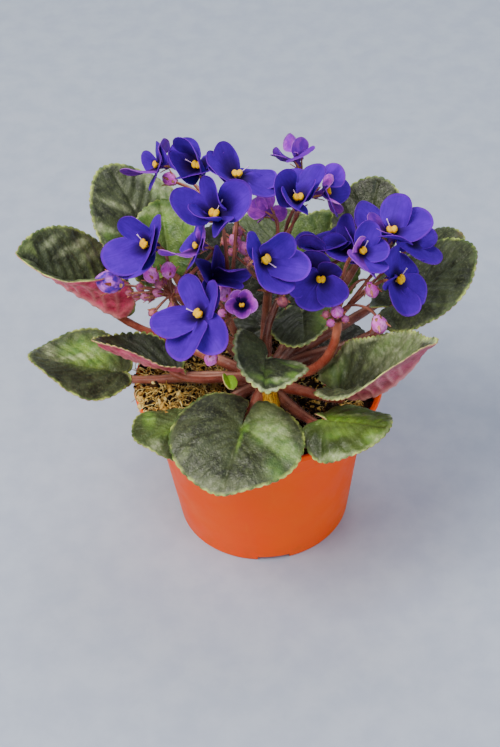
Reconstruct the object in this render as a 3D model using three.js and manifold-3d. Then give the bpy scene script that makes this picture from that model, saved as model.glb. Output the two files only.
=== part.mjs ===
// African violet in a round nursery pot, all sizes in millimetres, +Z up.
// The origin is on the ground in the middle of the pot; -Y is the side that faces the viewer.
import * as THREE from 'three';
import { mergeVertices } from 'three/addons/utils/BufferGeometryUtils.js';
import Module from 'manifold-3d';

const wasm = await Module();
wasm.setup();

const rad = (degrees) => degrees * Math.PI / 180;
// Slivers thinner than this, left where tubes join, are closed.
const MERGE = 0.04;
const vec = (x, y, z) => new THREE.Vector3(x, y, z);
const smooth = (t) => { const q = Math.min(1, Math.max(0, t)); return q * q * (3 - 2 * q); };

// Pot: a thin wall, a rim collar that steps out, a foot ring with four notches, holes in the floor.
const POT = {
  height: 85, rimRadius: 60, collarRadius: 56.5, collarDrop: 13, wallTopRadius: 52.3, baseRadius: 43,
  wall: 1.6, footWidth: 9, floorLift: 2, floorThick: 2, padRadius: 12, sides: 36,
  notchWidth: 16, notchHeight: 2.5, notchTurn: 4, holeRadius: 4, holeRing: 26, holes: 4,
};
const SOIL = { top: 78.5, bump: 1.4, gap: 0.4, holeRadius: 9.2, holeDepth: 12, sides: 28 };
const CROWN = {
  x: 3, y: -6, foot: 67, top: 96.2, radius: 8.6, topRadius: 6.9,
  petioleStart: 6, petioleBase: 2.7, petioleTip: 1.6, stubRadius: 4.2, stubLength: 9,
};

// Leaf blades. joint: where the petiole meets the blade. heading: degrees from +X towards +Y.
// pitch: rise of the blade at the joint. back: reach of the lobes behind the joint.
// fold: rise of each half at the midrib. cup: further turn of each half. arch: turn along the length.
const LEAF_THICK = 1.0;
const LEAF_SINUS = 158;
const LEAF_OPEN = 0.4;
const LEAF_STEPS = 26;
const LEAF_RINGS = [0.5, 1];
const TOOTH = 0.022;
const LEAVES = {
  a: { joint: [-59, 9, 113], heading: 167, pitch: 26, roll: -16, length: 59, width: 58, back: 9,
    foldL: 78, foldR: 4, cupL: 16, cupR: -6, arch: 22, wave: 1.2, droop: 30, far: 0.35 },
  b: { joint: [-44, 30, 133], heading: 118, pitch: 42, roll: 14, length: 52, width: 51, back: 12,
    foldL: 2, foldR: 5, cupL: 5, cupR: 8, arch: -16, wave: 1.2 },
  c: { joint: [-39, 25, 137], heading: 100, pitch: 55, roll: -8, length: 28, width: 34, back: 8,
    foldL: 8, foldR: 20, cupL: 10, cupR: 16, arch: -9, wave: 1.0 },
  d: { joint: [-65, 1, 93], heading: 174, pitch: 12, roll: 20, length: 46, width: 50, back: 10,
    foldL: -16, foldR: 18, cupL: 0, cupR: 14, arch: -2, wave: 1.5 },
  e: { joint: [-37, -18, 95], heading: 179, pitch: 28, roll: 22, length: 45, width: 47, back: 10,
    foldL: 38, foldR: 25, cupL: -10, cupR: 28, arch: 20, wave: 1.0, far: 0.35 },
  f: { joint: [6, -28, 115], heading: -99, pitch: 35, roll: -7, length: 23, width: 43, back: 11,
    foldL: 36, foldR: 48, cupL: 13, cupR: -8, arch: -54, wave: 1.0 },
  g: { joint: [-8, -47, 97], heading: -109, pitch: -4, roll: 17, length: 36, width: 61, back: 17,
    foldL: -9, foldR: 31, cupL: -21, cupR: -9, arch: -14, wave: 1.0, droop: 30 },
  h: { joint: [-36, -36, 91], heading: -138, pitch: 15, roll: -5, length: 24, width: 40, back: 10,
    foldL: 8, foldR: -9, cupL: -6, cupR: -12, arch: -15, wave: 1.0, far: 0.35 },
  i: { joint: [28, -52, 95], heading: 3, pitch: 20, roll: -13, length: 27, width: 40, back: 13,
    foldL: 1, foldR: -2, cupL: -9, cupR: -20, arch: -24, wave: 1.3, lift: 5, near: 0.45, far: 0.35, swing: -25 },
  j: { joint: [41, -31, 99], heading: -22, pitch: 16, roll: 4, length: 56, width: 50, back: 16,
    foldL: 42, foldR: 70, cupL: 14, cupR: 10, arch: 52, wave: 1.4 },
  k: { joint: [62, 5, 120], heading: 7, pitch: 29, roll: -6, length: 46, width: 56, back: 10,
    foldL: -4, foldR: 13, cupL: 11, cupR: -29, arch: 7, wave: 1.2 },
  l: { joint: [72, 27, 121], heading: 10, pitch: 42, roll: -5, length: 32, width: 44, back: 10,
    foldL: -11, foldR: -5, cupL: -1, cupR: 4, arch: -18, wave: 1.0, droop: 25 },
  m: { joint: [53, 28, 143], heading: 68, pitch: 50, roll: -7, length: 28, width: 37, back: 10,
    foldL: 0, foldR: 8, cupL: 3, cupR: 5, arch: -11, wave: 1.0 },
  o: { joint: [22, 9, 117], heading: -92, pitch: 11, roll: 10, length: 26, width: 32, back: 6,
    foldL: 11, foldR: -2, cupL: 0, cupR: 0, arch: -16, wave: 1.0 },
  q: { joint: [9, 59, 108], heading: 76, pitch: 15, roll: 0, length: 38, width: 46, back: 12,
    foldL: 8, foldR: 8, cupL: 6, cupR: 6, arch: -18, wave: 1.0 },
  r: { joint: [30, 34, 113], heading: 62, pitch: 61, roll: 0, length: 34, width: 46, back: 12,
    foldL: 8, foldR: 8, cupL: 6, cupR: 6, arch: -18, wave: 1.0, far: 0.35 },
};
const PETIOLE = { lift: 35, droop: 15, near: 0.3, far: 0.2, swing: 0 };

// Blooms. face: azimuth and elevation the flower looks to. roll: clockwise turn seen from its front.
// Petals run from up, clockwise from the front: two upper, two side ones, one lower.
const PETAL_ANGLE = [-32, 32, -110, 110, 180];
const PETAL_LENGTH = [0.80, 0.80, 1.0, 1.0, 1.03];
const PETAL_HALF = [8.2, 8.2, 10.2, 10.2, 10.6];
const PETAL_ORDER = [0, 1, 3, 4, 2];
const BLOOM_REACH = 19;
const BLOOM_THROAT = 28;
const BLOOM_CURL = 12;
const BLOOM_NOTCH = 0.2;
const BLOOM_THICK = 0.7;
const BLOOM_RINGS = [0.3, 0.65, 1];
const BLOOMS = {
  b01: { at: [-43, 50, 174], face: [-125, 45], roll: -15, size: 0.87, pitch: [85, 25, 10, 25, 25],
    angle: [-35, 20, -110, 110, 180], anther: 0.85 },
  b02: { at: [-22, 29, 188], face: [-140, 40], roll: -20, size: 1.02, pitch: [40, -5, -5, 25, 25],
    angle: [-35, 30, -105, 110, 180], upper: 1.04 },
  b03: { at: [-5, 17, 191], face: [-55, 70], roll: -5, size: 1.09, pitch: [50, 20, 20, -15, 10],
    angle: [-20, 30, -110, 115, 175], upper: 1.03 },
  b04: { at: [-16, -10, 190], face: [-80, 55], roll: 10, size: 1.22, pitch: [0, 10, 45, 40, 35],
    angle: [-55, 55, -120, 110, 190], upper: 1.08 },
  b05: { at: [-48, 3, 164], face: [-115, 35], roll: -15, size: 1.06, pitch: [45, 10, 15, 40, 35],
    angle: [-40, 25, -115, 110, 180] },
  b06: { at: [-25, -14, 174], face: [-120, 50], roll: -10, size: 0.81, pitch: [75, 25, 15, 30, 30], anther: 0.85 },
  b07: { at: [5, -28, 176], face: [-75, 35], roll: 20, size: 1.0, pitch: [20, 30, 20, 20, 35],
    angle: [-25, 40, -110, 110, 180] },
  b08: { at: [21, 3, 186], face: [-80, 55], roll: -5, size: 1.01, pitch: [35, 20, 55, 40, 45],
    angle: [-50, 40, -110, 110, 185], upper: 1.02 },
  b09: { at: [36, 11, 182], face: [-65, 45], roll: 0, size: 0.85, pitch: [40, 35, 30, 55, 50],
    angle: [-35, 35, -125, 110, 190] },
  b10: { at: [29, -18, 155], face: [-95, 35], roll: 0, size: 0.87, pitch: [35, 35, 45, 35, 35],
    angle: [-35, 35, -110, 105, 190] },
  b11: { at: [47, -26, 177], face: [-75, 45], roll: 0, size: 0.79, pitch: [50, 45, 35, 50, 35],
    angle: [-35, 30, -110, 110, 185] },
  b12: { at: [62, -8, 174], face: [-55, 55], roll: 0, size: 1.01, pitch: [40, 30, 30, 40, 30] },
  b13: { at: [65, -17, 152], face: [-75, 50], roll: 15, size: 1.04, pitch: [10, 15, 40, 15, 30],
    angle: [-25, 30, -105, 110, 175], upper: 1.03 },
  b14: { at: [-25, -37, 157], face: [-115, 35], roll: 5, size: 1.09, pitch: [15, 5, 5, 15, 10],
    angle: [-30, 20, -115, 115, 185] },
  b15: { at: [-6, -25, 151], face: [-90, 50], roll: 0, size: 0.5, pitch: [62, 62, 62, 62, 62], anther: 0.62 },
  b16: { at: [22, 36, 184], face: [90, 85], roll: 0, size: 0.8, pitch: [55, 55, 50, 50, 50] },
  b17: { at: [7, 14, 173], face: [90, 0], roll: 0, size: 0.7, pitch: [35, 35, 35, 35, 35] },
  b18: { at: [31, 1, 158], face: [80, 70], roll: 0, size: 0.85, pitch: [24, 24, 24, 24, 24] },
  b19: { at: [-18, -12, 159], face: [-70, 30], roll: -15, size: 0.93, pitch: [30, 20, 20, 25, 20],
    angle: [-45, 30, -110, 115, 180] },
  b20: { at: [49, 0, 166], face: [-115, 70], roll: 0, size: 0.85, pitch: [30, 30, 30, 30, 30] },
  b21: { at: [73, 6, 157], face: [-35, 55], roll: -5, size: 0.85, pitch: [15, 15, 10, -10, 15] },
};
const ANTHERS = ['b01', 'b02', 'b03', 'b04', 'b05', 'b06', 'b07', 'b08', 'b09', 'b10', 'b11', 'b12', 'b13',
  'b14', 'b15'];
const ANTHER = { lift: 3.2, length: 1.7, width: 1.05, height: 1.15, spread: 1.15, filament: 0.55, foot: 0.75 };

// Flower sprays: a peduncle from the crown to its knee, then a thin stalk to every bloom and bud.
const SPRAY = {
  baseRadius: 1.8, kneeRadius: 1.4, stalkRadius: 0.8, calyxRadius: 2.3, calyxStart: 6.5, calyxEnd: 0.75,
};
const SPRAYS = {
  spray_left: { base: [-1, -4, 97], knee: [-38, 1, 136], lean: [0, 0], near: 0.3,
    blooms: { b01: { lean: [-12, -12, 14] }, b02: {}, b05: {}, b06: {} },
    buds: [[-36, 45, 171], [-64, 2, 146, 1.7], [-33, 28, 170], [-47, 4, 146], [-38, 2, 150], [-53, 1, 140],
      [-44, -1, 134]] },
  spray_mid_left: { base: [0, -9.5, 97], knee: [-12, -13, 133], lean: [0, 0], near: 0.3,
    blooms: { b03: {}, b04: {}, b14: { lean: [0, -12, 4] }, b15: {}, b19: {} },
    buds: [[-14, -9, 144], [-15, -16, 138], [-21, -28, 122]] },
  spray_middle: { base: [3, -2, 97.1], knee: [6, 4, 134], lean: [0, 10], near: 0.3,
    blooms: { b07: {}, b16: {}, b17: {} },
    buds: [[-6, 11, 158], [-5, 5, 155]] },
  spray_mid_right: { base: [6.5, -9.5, 97], knee: [15, 7, 134], lean: [-10, -10], near: 0.5,
    blooms: { b08: { lean: [-12, 0, 14] }, b09: { far: 0.4 }, b10: {}, b18: {}, b20: {} },
    buds: [[13, -10, 138]] },
  spray_right: { base: [7, -4, 97], knee: [43, -14, 128], lean: [0, 0], near: 0.3,
    blooms: { b11: {}, b12: {}, b13: {}, b21: {} },
    buds: [[54, -17, 130], [52, -8, 142], [37, -10, 130]] },
};

const COLOURS = {
  pot: '#f2691c', soil: '#3a2a1a', crown: '#7a3320', leaf: '#4a5a32', spray: '#a0503c', bloom: '#4a30e6',
  pale: '#b58ae0', anther: '#f2cf1a',
};

function toMesh(name, positions, index, colour, rough = 0.6) {
  let volume = 0;
  for (let i = 0; i < index.length; i += 3) {
    const [a, b, c] = [0, 1, 2].map((k) => positions[index[i + k]]);
    volume += a.dot(b.clone().cross(c));
  }
  if (volume < 0) {
    for (let i = 0; i < index.length; i += 3) [index[i + 1], index[i + 2]] = [index[i + 2], index[i + 1]];
  }
  const geometry = new THREE.BufferGeometry();
  geometry.setAttribute('position', new THREE.Float32BufferAttribute(positions.flatMap((p) => [p.x, p.y, p.z]), 3));
  geometry.setIndex(index);
  geometry.computeVertexNormals();
  const mesh = new THREE.Mesh(geometry, new THREE.MeshStandardMaterial({ color: colour, roughness: rough }));
  mesh.name = name;
  return mesh;
}

function toSolid(positions, index) {
  const mesh = toMesh('', positions, index, '#ffffff');
  const merged = mergeVertices(new THREE.BufferGeometry()
    .setAttribute('position', mesh.geometry.getAttribute('position')).setIndex(mesh.geometry.getIndex()), 1e-5);
  return new wasm.Manifold(new wasm.Mesh({
    numProp: 3,
    vertProperties: new Float32Array(merged.getAttribute('position').array),
    triVerts: new Uint32Array(merged.getIndex().array),
  }));
}

function fromSolid(name, solid, colour, rough) {
  const data = solid.simplify(MERGE).getMesh();
  const points = [];
  for (let i = 0; i < data.vertProperties.length; i += data.numProp) {
    points.push(vec(data.vertProperties[i], data.vertProperties[i + 1], data.vertProperties[i + 2]));
  }
  return toMesh(name, points, Array.from(data.triVerts), colour, rough);
}

// A thin sheet: the middle surface moved half the thickness both ways along its own normals.
function sheet(points, faces, thick) {
  const normals = points.map(() => vec(0, 0, 0));
  const edges = new Map();
  for (const face of faces) {
    const [a, b, c] = face.map((i) => points[i]);
    const n = b.clone().sub(a).cross(c.clone().sub(a));
    face.forEach((i) => normals[i].add(n));
    for (let k = 0; k < 3; k += 1) {
      const from = face[k];
      const to = face[(k + 1) % 3];
      if (edges.has(`${to} ${from}`)) edges.delete(`${to} ${from}`);
      else edges.set(`${from} ${to}`, [from, to]);
    }
  }
  normals.forEach((n) => n.normalize());
  const count = points.length;
  const all = points.map((p, i) => p.clone().addScaledVector(normals[i], thick / 2))
    .concat(points.map((p, i) => p.clone().addScaledVector(normals[i], -thick / 2)));
  const index = [];
  for (const [a, b, c] of faces) index.push(a, b, c, c + count, b + count, a + count);
  for (const [a, b] of edges.values()) index.push(a, b + count, b, a, a + count, b + count);
  return { points: all, index };
}

// A closed tube with a radius at every point of its path, its ends flat.
function tube(path, radii, sides) {
  const points = [];
  const index = [];
  let side = vec(0, 0, 1);
  path.forEach((p, i) => {
    const ahead = path[Math.min(i + 1, path.length - 1)].clone().sub(path[Math.max(i - 1, 0)]).normalize();
    if (i === 0 && Math.abs(ahead.z) > 0.9) side = vec(1, 0, 0);
    side = side.clone().addScaledVector(ahead, -side.dot(ahead)).normalize();
    const over = ahead.clone().cross(side);
    for (let k = 0; k < sides; k += 1) {
      const turn = 2 * Math.PI * k / sides;
      points.push(p.clone().addScaledVector(side, Math.cos(turn) * radii[i])
        .addScaledVector(over, Math.sin(turn) * radii[i]));
    }
  });
  const last = (path.length - 1) * sides;
  for (let k = 0; k < sides; k += 1) {
    const next = (k + 1) % sides;
    for (let i = 0; i < path.length - 1; i += 1) {
      const a = i * sides;
      index.push(a + k, a + next, a + sides + next, a + k, a + sides + next, a + sides + k);
    }
    if (k > 0 && next > 0) {
      index.push(0, next, k);
      index.push(last, last + k, last + next);
    }
  }
  return toSolid(points, index);
}

// A solid turned about the vertical through x, y; the profile runs from axis to axis.
function turned(profile, sides, x = 0, y = 0) {
  const points = [];
  const index = [];
  const rows = profile.map(([r, z]) => {
    if (r === 0) {
      points.push(vec(x, y, z));
      return [points.length - 1];
    }
    const row = [];
    for (let k = 0; k < sides; k += 1) {
      const turn = 2 * Math.PI * k / sides;
      row.push(points.length);
      points.push(vec(x + r * Math.cos(turn), y + r * Math.sin(turn), z));
    }
    return row;
  });
  for (let i = 0; i < rows.length - 1; i += 1) {
    const [a, b] = [rows[i], rows[i + 1]];
    for (let k = 0; k < sides; k += 1) {
      const next = (k + 1) % sides;
      if (a.length > 1 && b.length > 1) index.push(a[k], a[next], b[next], a[k], b[next], b[k]);
      else if (a.length > 1) index.push(a[k], a[next], b[0]);
      else if (b.length > 1) index.push(a[0], b[next], b[k]);
    }
  }
  return toSolid(points, index);
}

function egg(centre, axes, sizes, sides = 6, rings = 4) {
  const points = [centre.clone().addScaledVector(axes[0], -sizes[0])];
  const index = [];
  for (let i = 1; i < rings; i += 1) {
    const slope = Math.PI * i / rings;
    for (let k = 0; k < sides; k += 1) {
      const turn = 2 * Math.PI * k / sides;
      points.push(centre.clone().addScaledVector(axes[0], -Math.cos(slope) * sizes[0])
        .addScaledVector(axes[1], Math.sin(slope) * Math.cos(turn) * sizes[1])
        .addScaledVector(axes[2], Math.sin(slope) * Math.sin(turn) * sizes[2]));
    }
  }
  points.push(centre.clone().addScaledVector(axes[0], sizes[0]));
  const end = points.length - 1;
  for (let k = 0; k < sides; k += 1) {
    const next = (k + 1) % sides;
    index.push(0, 1 + next, 1 + k);
    for (let i = 0; i < rings - 2; i += 1) {
      const a = 1 + i * sides;
      index.push(a + k, a + next, a + sides + next, a + k, a + sides + next, a + sides + k);
    }
    index.push(end, end - sides + k, end - sides + next);
  }
  return toSolid(points, index);
}

function bezier(p0, p1, p2, p3, t) {
  const s = 1 - t;
  return vec(0, 0, 0).addScaledVector(p0, s * s * s).addScaledVector(p1, 3 * s * s * t)
    .addScaledVector(p2, 3 * s * t * t).addScaledVector(p3, t * t * t);
}

function path(p0, p1, p2, p3, steps) {
  return Array.from({ length: steps + 1 }, (_, i) => bezier(p0, p1, p2, p3, i / steps));
}

// Leaf blade
function leafFrame(leaf) {
  const [a, p, r] = [rad(leaf.heading), rad(leaf.pitch), rad(leaf.roll)];
  const axis = vec(Math.cos(a) * Math.cos(p), Math.sin(a) * Math.cos(p), Math.sin(p));
  const flat = vec(-Math.sin(a), Math.cos(a), 0);
  const up = axis.clone().cross(flat);
  const left = flat.clone().multiplyScalar(Math.cos(r)).addScaledVector(up, Math.sin(r));
  const normal = flat.clone().multiplyScalar(-Math.sin(r)).addScaledVector(up, Math.cos(r));
  return { axis, left, normal, joint: vec(...leaf.joint) };
}

function leafRadius(leaf, theta) {
  const a = (leaf.length + leaf.back) / 2;
  const c = (leaf.length - leaf.back) / 2;
  const b = leaf.width / 2;
  const [ct, st] = [Math.cos(theta), Math.sin(theta)];
  const qa = (ct / a) ** 2 + (st / b) ** 2;
  const qb = -2 * ct * c / a ** 2;
  const qc = (c / a) ** 2 - 1;
  const r = (-qb + Math.sqrt(qb * qb - 4 * qa * qc)) / (2 * qa);
  const tip = 1 + 0.06 * Math.exp(-((theta / 0.28) ** 2));
  const lobe = Math.max(0, (Math.abs(theta) - (rad(LEAF_SINUS) - 0.42)) / 0.42);
  return r * tip * (1 - 0.42 * lobe * lobe);
}

function leafPoint(leaf, frame, x, y, rise) {
  const left = y >= 0;
  const fold = rad(left ? leaf.foldL : leaf.foldR) * (1 - LEAF_OPEN * smooth(x / leaf.length));
  const cup = rad(left ? leaf.cupL : leaf.cupR) / (leaf.width / 2);
  const s = Math.abs(y);
  let across = s * Math.cos(fold);
  let up = s * Math.sin(fold);
  if (Math.abs(cup) > 1e-5) {
    across = (Math.sin(fold + cup * s) - Math.sin(fold)) / cup;
    up = (Math.cos(fold) - Math.cos(fold + cup * s)) / cup;
  }
  const k = rad(leaf.arch) / leaf.length;
  const along = Math.sin(k * x) / k - up * Math.sin(k * x);
  const lift = (1 - Math.cos(k * x)) / k + up * Math.cos(k * x) + rise;
  return frame.joint.clone().addScaledVector(frame.axis, along)
    .addScaledVector(frame.left, left ? across : -across).addScaledVector(frame.normal, lift);
}

function leafBlade(key) {
  const leaf = LEAVES[key];
  const frame = leafFrame(leaf);
  const points = [frame.joint.clone()];
  const faces = [];
  const sinus = rad(LEAF_SINUS);
  LEAF_RINGS.forEach((ring) => {
    for (let i = 0; i <= LEAF_STEPS; i += 1) {
      const theta = -sinus + 2 * sinus * i / LEAF_STEPS;
      const tooth = ring === 1 && i !== LEAF_STEPS / 2 ? 1 + (i % 2 ? TOOTH : -TOOTH) : 1;
      const r = leafRadius(leaf, theta) * ring * tooth;
      const rise = leaf.wave * Math.sin(5 * theta) * ring * ring;
      points.push(leafPoint(leaf, frame, r * Math.cos(theta), r * Math.sin(theta), rise));
    }
  });
  const row = LEAF_STEPS + 1;
  for (let i = 0; i < LEAF_STEPS; i += 1) {
    faces.push([0, 1 + i, 2 + i]);
    for (let k = 0; k < LEAF_RINGS.length - 1; k += 1) {
      const a = 1 + k * row + i;
      faces.push([a, a + row, a + row + 1], [a, a + row + 1, a + 1]);
    }
  }
  const { points: all, index } = sheet(points, faces, LEAF_THICK);
  return toMesh(`leaf_${key}`, all, index, COLOURS.leaf, 0.75);
}

function petiole(leaf) {
  const given = { ...PETIOLE, ...leaf };
  const frame = leafFrame(leaf);
  const out = Math.atan2(frame.joint.y - CROWN.y, frame.joint.x - CROWN.x) + rad(given.swing);
  const height = frame.joint.z > 118 ? 91 : frame.joint.z > 100 ? 88 : 85;
  const start = vec(CROWN.x + CROWN.petioleStart * Math.cos(out), CROWN.y + CROWN.petioleStart * Math.sin(out), height);
  const reach = frame.joint.distanceTo(start);
  const rise = rad(given.lift);
  const leave = vec(Math.cos(out) * Math.cos(rise), Math.sin(out) * Math.cos(rise), Math.sin(rise));
  const end = frame.joint.clone().addScaledVector(frame.normal, -LEAF_THICK / 2 - 0.4 - CROWN.petioleTip)
    .addScaledVector(frame.axis, 0.5);
  const arrive = frame.axis.clone().multiplyScalar(Math.cos(rad(given.droop)))
    .addScaledVector(frame.normal, Math.sin(rad(given.droop)));
  const steps = 5;
  const line = path(start, start.clone().addScaledVector(leave, reach * given.near),
    end.clone().addScaledVector(arrive, -reach * given.far), end, steps);
  const radii = line.map((_, i) => CROWN.petioleBase
    + (CROWN.petioleTip - CROWN.petioleBase) * smooth((i / steps - 0.1) / 0.9));
  return tube(line, radii, 6);
}

function crown() {
  let solid = turned([[0, CROWN.foot], [CROWN.radius - 2, CROWN.foot], [CROWN.radius, 74], [CROWN.radius, 88],
    [CROWN.radius - 0.6, 93], [CROWN.topRadius, CROWN.top], [0, CROWN.top]], 14, CROWN.x, CROWN.y);
  for (const leaf of Object.values(LEAVES)) solid = solid.add(petiole(leaf));
  const stubStart = vec(CROWN.x + 1, CROWN.y - 3, 86);
  const stubEnd = vec(CROWN.x + 2.5, CROWN.y - 3 - CROWN.stubLength, 89);
  solid = solid.add(tube([stubStart, stubEnd], [CROWN.stubRadius, CROWN.stubRadius * 0.85], 8));
  return fromSolid('crown', solid, COLOURS.crown, 0.7);
}

// Bloom
function bloomFrame(bloom) {
  const [a, e] = bloom.face.map(rad);
  const front = vec(Math.cos(a) * Math.cos(e), Math.sin(a) * Math.cos(e), Math.sin(e));
  const up = vec(0, 0, 1).addScaledVector(front, -front.z).normalize();
  const right = up.clone().cross(front);
  const r = rad(bloom.roll);
  return {
    front,
    up: up.clone().multiplyScalar(Math.cos(r)).addScaledVector(right, Math.sin(r)),
    right: right.clone().multiplyScalar(Math.cos(r)).addScaledVector(up, -Math.sin(r)),
    at: vec(...bloom.at),
  };
}

function petalReach(length, half, turn) {
  const a = 0.44 * length;
  const c = length - a;
  const [ct, st] = [Math.cos(turn), Math.sin(turn)];
  const qa = (ct / a) ** 2 + (st / half) ** 2;
  const qb = -2 * ct * c / a ** 2;
  const qc = (c / a) ** 2 - 1;
  const q = qb * qb - 4 * qa * qc;
  return q < 0 ? 0 : (-qb + Math.sqrt(q)) / (2 * qa);
}

function bloomPoint(bloom, frame, theta, share) {
  const angles = bloom.angle ?? PETAL_ANGLE;
  let reach = 0.33 * BLOOM_REACH * bloom.size;
  let weights = 0;
  let slope = 0;
  angles.forEach((angle, i) => {
    const turn = Math.atan2(Math.sin(theta - rad(angle)), Math.cos(theta - rad(angle)));
    const length = PETAL_LENGTH[i] * (i < 2 ? bloom.upper ?? 1 : 1) * BLOOM_REACH * bloom.size;
    reach = Math.max(reach, petalReach(length, PETAL_HALF[i] * bloom.size, turn));
    const weight = Math.exp(-((turn / 0.42) ** 2)) + 1e-6;
    weights += weight;
    slope += weight * rad(bloom.pitch[i]);
  });
  slope /= weights;
  PETAL_ORDER.forEach((petal, i) => {
    const from = rad(angles[petal]);
    const to = rad(angles[PETAL_ORDER[(i + 1) % 5]]);
    const middle = from + (((to - from) % (2 * Math.PI) + 2 * Math.PI) % (2 * Math.PI)) / 2;
    const turn = Math.atan2(Math.sin(theta - middle), Math.cos(theta - middle));
    reach *= 1 - BLOOM_NOTCH * Math.exp(-((turn / 0.12) ** 2));
  });
  const length = BLOOM_REACH * bloom.size;
  const steps = 12;
  const step = share * reach / steps;
  let out = 0;
  let rise = 0;
  for (let i = 0; i < steps; i += 1) {
    const q = (i + 0.5) * step / length;
    const turned = smooth(q / 0.3);
    const angle = rad(BLOOM_THROAT) * (1 - turned) + slope * turned + rad(BLOOM_CURL) * q;
    out += Math.cos(angle) * step;
    rise += Math.sin(angle) * step;
  }
  return frame.at.clone().addScaledVector(frame.up, out * Math.cos(theta))
    .addScaledVector(frame.right, out * Math.sin(theta)).addScaledVector(frame.front, rise);
}

function bloomSheet(key) {
  const bloom = BLOOMS[key];
  const frame = bloomFrame(bloom);
  const angles = bloom.angle ?? PETAL_ANGLE;
  const turns = [];
  PETAL_ORDER.forEach((petal, i) => {
    const from = angles[petal];
    let to = angles[PETAL_ORDER[(i + 1) % 5]];
    while (to <= from) to += 360;
    [0, 0.3, 0.5, 0.7].forEach((share) => turns.push(rad(from + (to - from) * share)));
  });
  const points = [frame.at.clone()];
  const faces = [];
  BLOOM_RINGS.forEach((ring) => turns.forEach((turn) => points.push(bloomPoint(bloom, frame, turn, ring))));
  const count = turns.length;
  for (let i = 0; i < count; i += 1) {
    const next = (i + 1) % count;
    faces.push([0, 1 + i, 1 + next]);
    for (let k = 0; k < BLOOM_RINGS.length - 1; k += 1) {
      const a = 1 + k * count;
      faces.push([a + i, a + count + i, a + count + next], [a + i, a + count + next, a + next]);
    }
  }
  const { points: all, index } = sheet(points, faces, BLOOM_THICK);
  const pale = ['b15', 'b16', 'b17'].includes(key);
  return toMesh(`bloom_${key.slice(1)}`, all, index, pale ? COLOURS.pale : COLOURS.bloom, 0.5);
}

function antherPair(key) {
  const bloom = BLOOMS[key];
  const frame = bloomFrame(bloom);
  const size = Math.min(1, bloom.size) * (bloom.anther ?? 1);
  const centre = frame.at.clone().addScaledVector(frame.front, ANTHER.lift * Math.max(size, 0.75));
  const axes = [frame.up, frame.right, frame.front];
  const sizes = [ANTHER.length * size, ANTHER.width * size, ANTHER.height * size];
  const left = egg(centre.clone().addScaledVector(frame.right, -ANTHER.spread * 0.75 * size), axes, sizes, 5, 3);
  const right = egg(centre.clone().addScaledVector(frame.right, ANTHER.spread * 0.75 * size), axes, sizes, 5, 3);
  const foot = frame.at.clone().addScaledVector(frame.front, ANTHER.foot);
  const stem = tube([foot, centre], [ANTHER.filament * size, ANTHER.filament * size], 4);
  return fromSolid(`anthers_${key.slice(1)}`, left.add(right).add(stem), COLOURS.anther, 0.6);
}

function spray(key) {
  const given = SPRAYS[key];
  const base = vec(...given.base);
  const knee = vec(...given.knee);
  const reach = knee.distanceTo(base);
  const lean = given.lean;
  const main = [base, base.clone().add(vec(lean[0] * 0.6, lean[1] * 0.6, reach * given.near)),
    knee.clone().add(vec(lean[0], lean[1], -reach * 0.3)), knee];
  const steps = 6;
  const line = path(...main, steps);
  let solid = tube(line, line.map((_, i) => SPRAY.baseRadius + (SPRAY.kneeRadius - SPRAY.baseRadius) * i / steps), 6);
  for (const [name, stalk] of Object.entries(given.blooms)) {
    const bloom = BLOOMS[name];
    const frame = bloomFrame(bloom);
    const size = Math.max(bloom.size, 0.6);
    const start = bezier(...main, stalk.from ?? 1);
    const end = frame.at.clone().addScaledVector(frame.front, -SPRAY.calyxStart * size);
    const span = end.distanceTo(start);
    const thin = path(start, start.clone().add(vec(...(stalk.lean ?? [0, 0, 4]))),
      end.clone().addScaledVector(frame.front, -span * (stalk.far ?? 0.2)), end, 4);
    const radii = thin.map(() => SPRAY.stalkRadius);
    thin.push(frame.at.clone().addScaledVector(frame.front, -SPRAY.calyxStart * size * 0.55));
    radii.push(SPRAY.calyxRadius * size * 0.8);
    thin.push(frame.at.clone().addScaledVector(frame.front, -SPRAY.calyxEnd));
    radii.push(SPRAY.calyxRadius * size);
    solid = solid.add(tube(thin, radii, 5));
  }
  for (const [x, y, z, scale = 1] of given.buds) {
    const end = vec(x, y, z);
    const towards = end.clone().sub(knee).normalize();
    const span = end.distanceTo(knee);
    const thin = path(knee, knee.clone().add(vec(0, 0, 4)), end.clone().addScaledVector(towards, -span * 0.2), end, 4);
    solid = solid.add(tube(thin, thin.map(() => SPRAY.stalkRadius * 0.9), 4));
    const side = vec(0, 0, 1).cross(towards).normalize();
    const bud = [towards, side, towards.clone().cross(side)];
    solid = solid.add(egg(end, bud, [3.6 * scale, 2.4 * scale, 2.4 * scale], 5, 3));
  }
  return fromSolid(key, solid, COLOURS.spray, 0.6);
}

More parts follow.
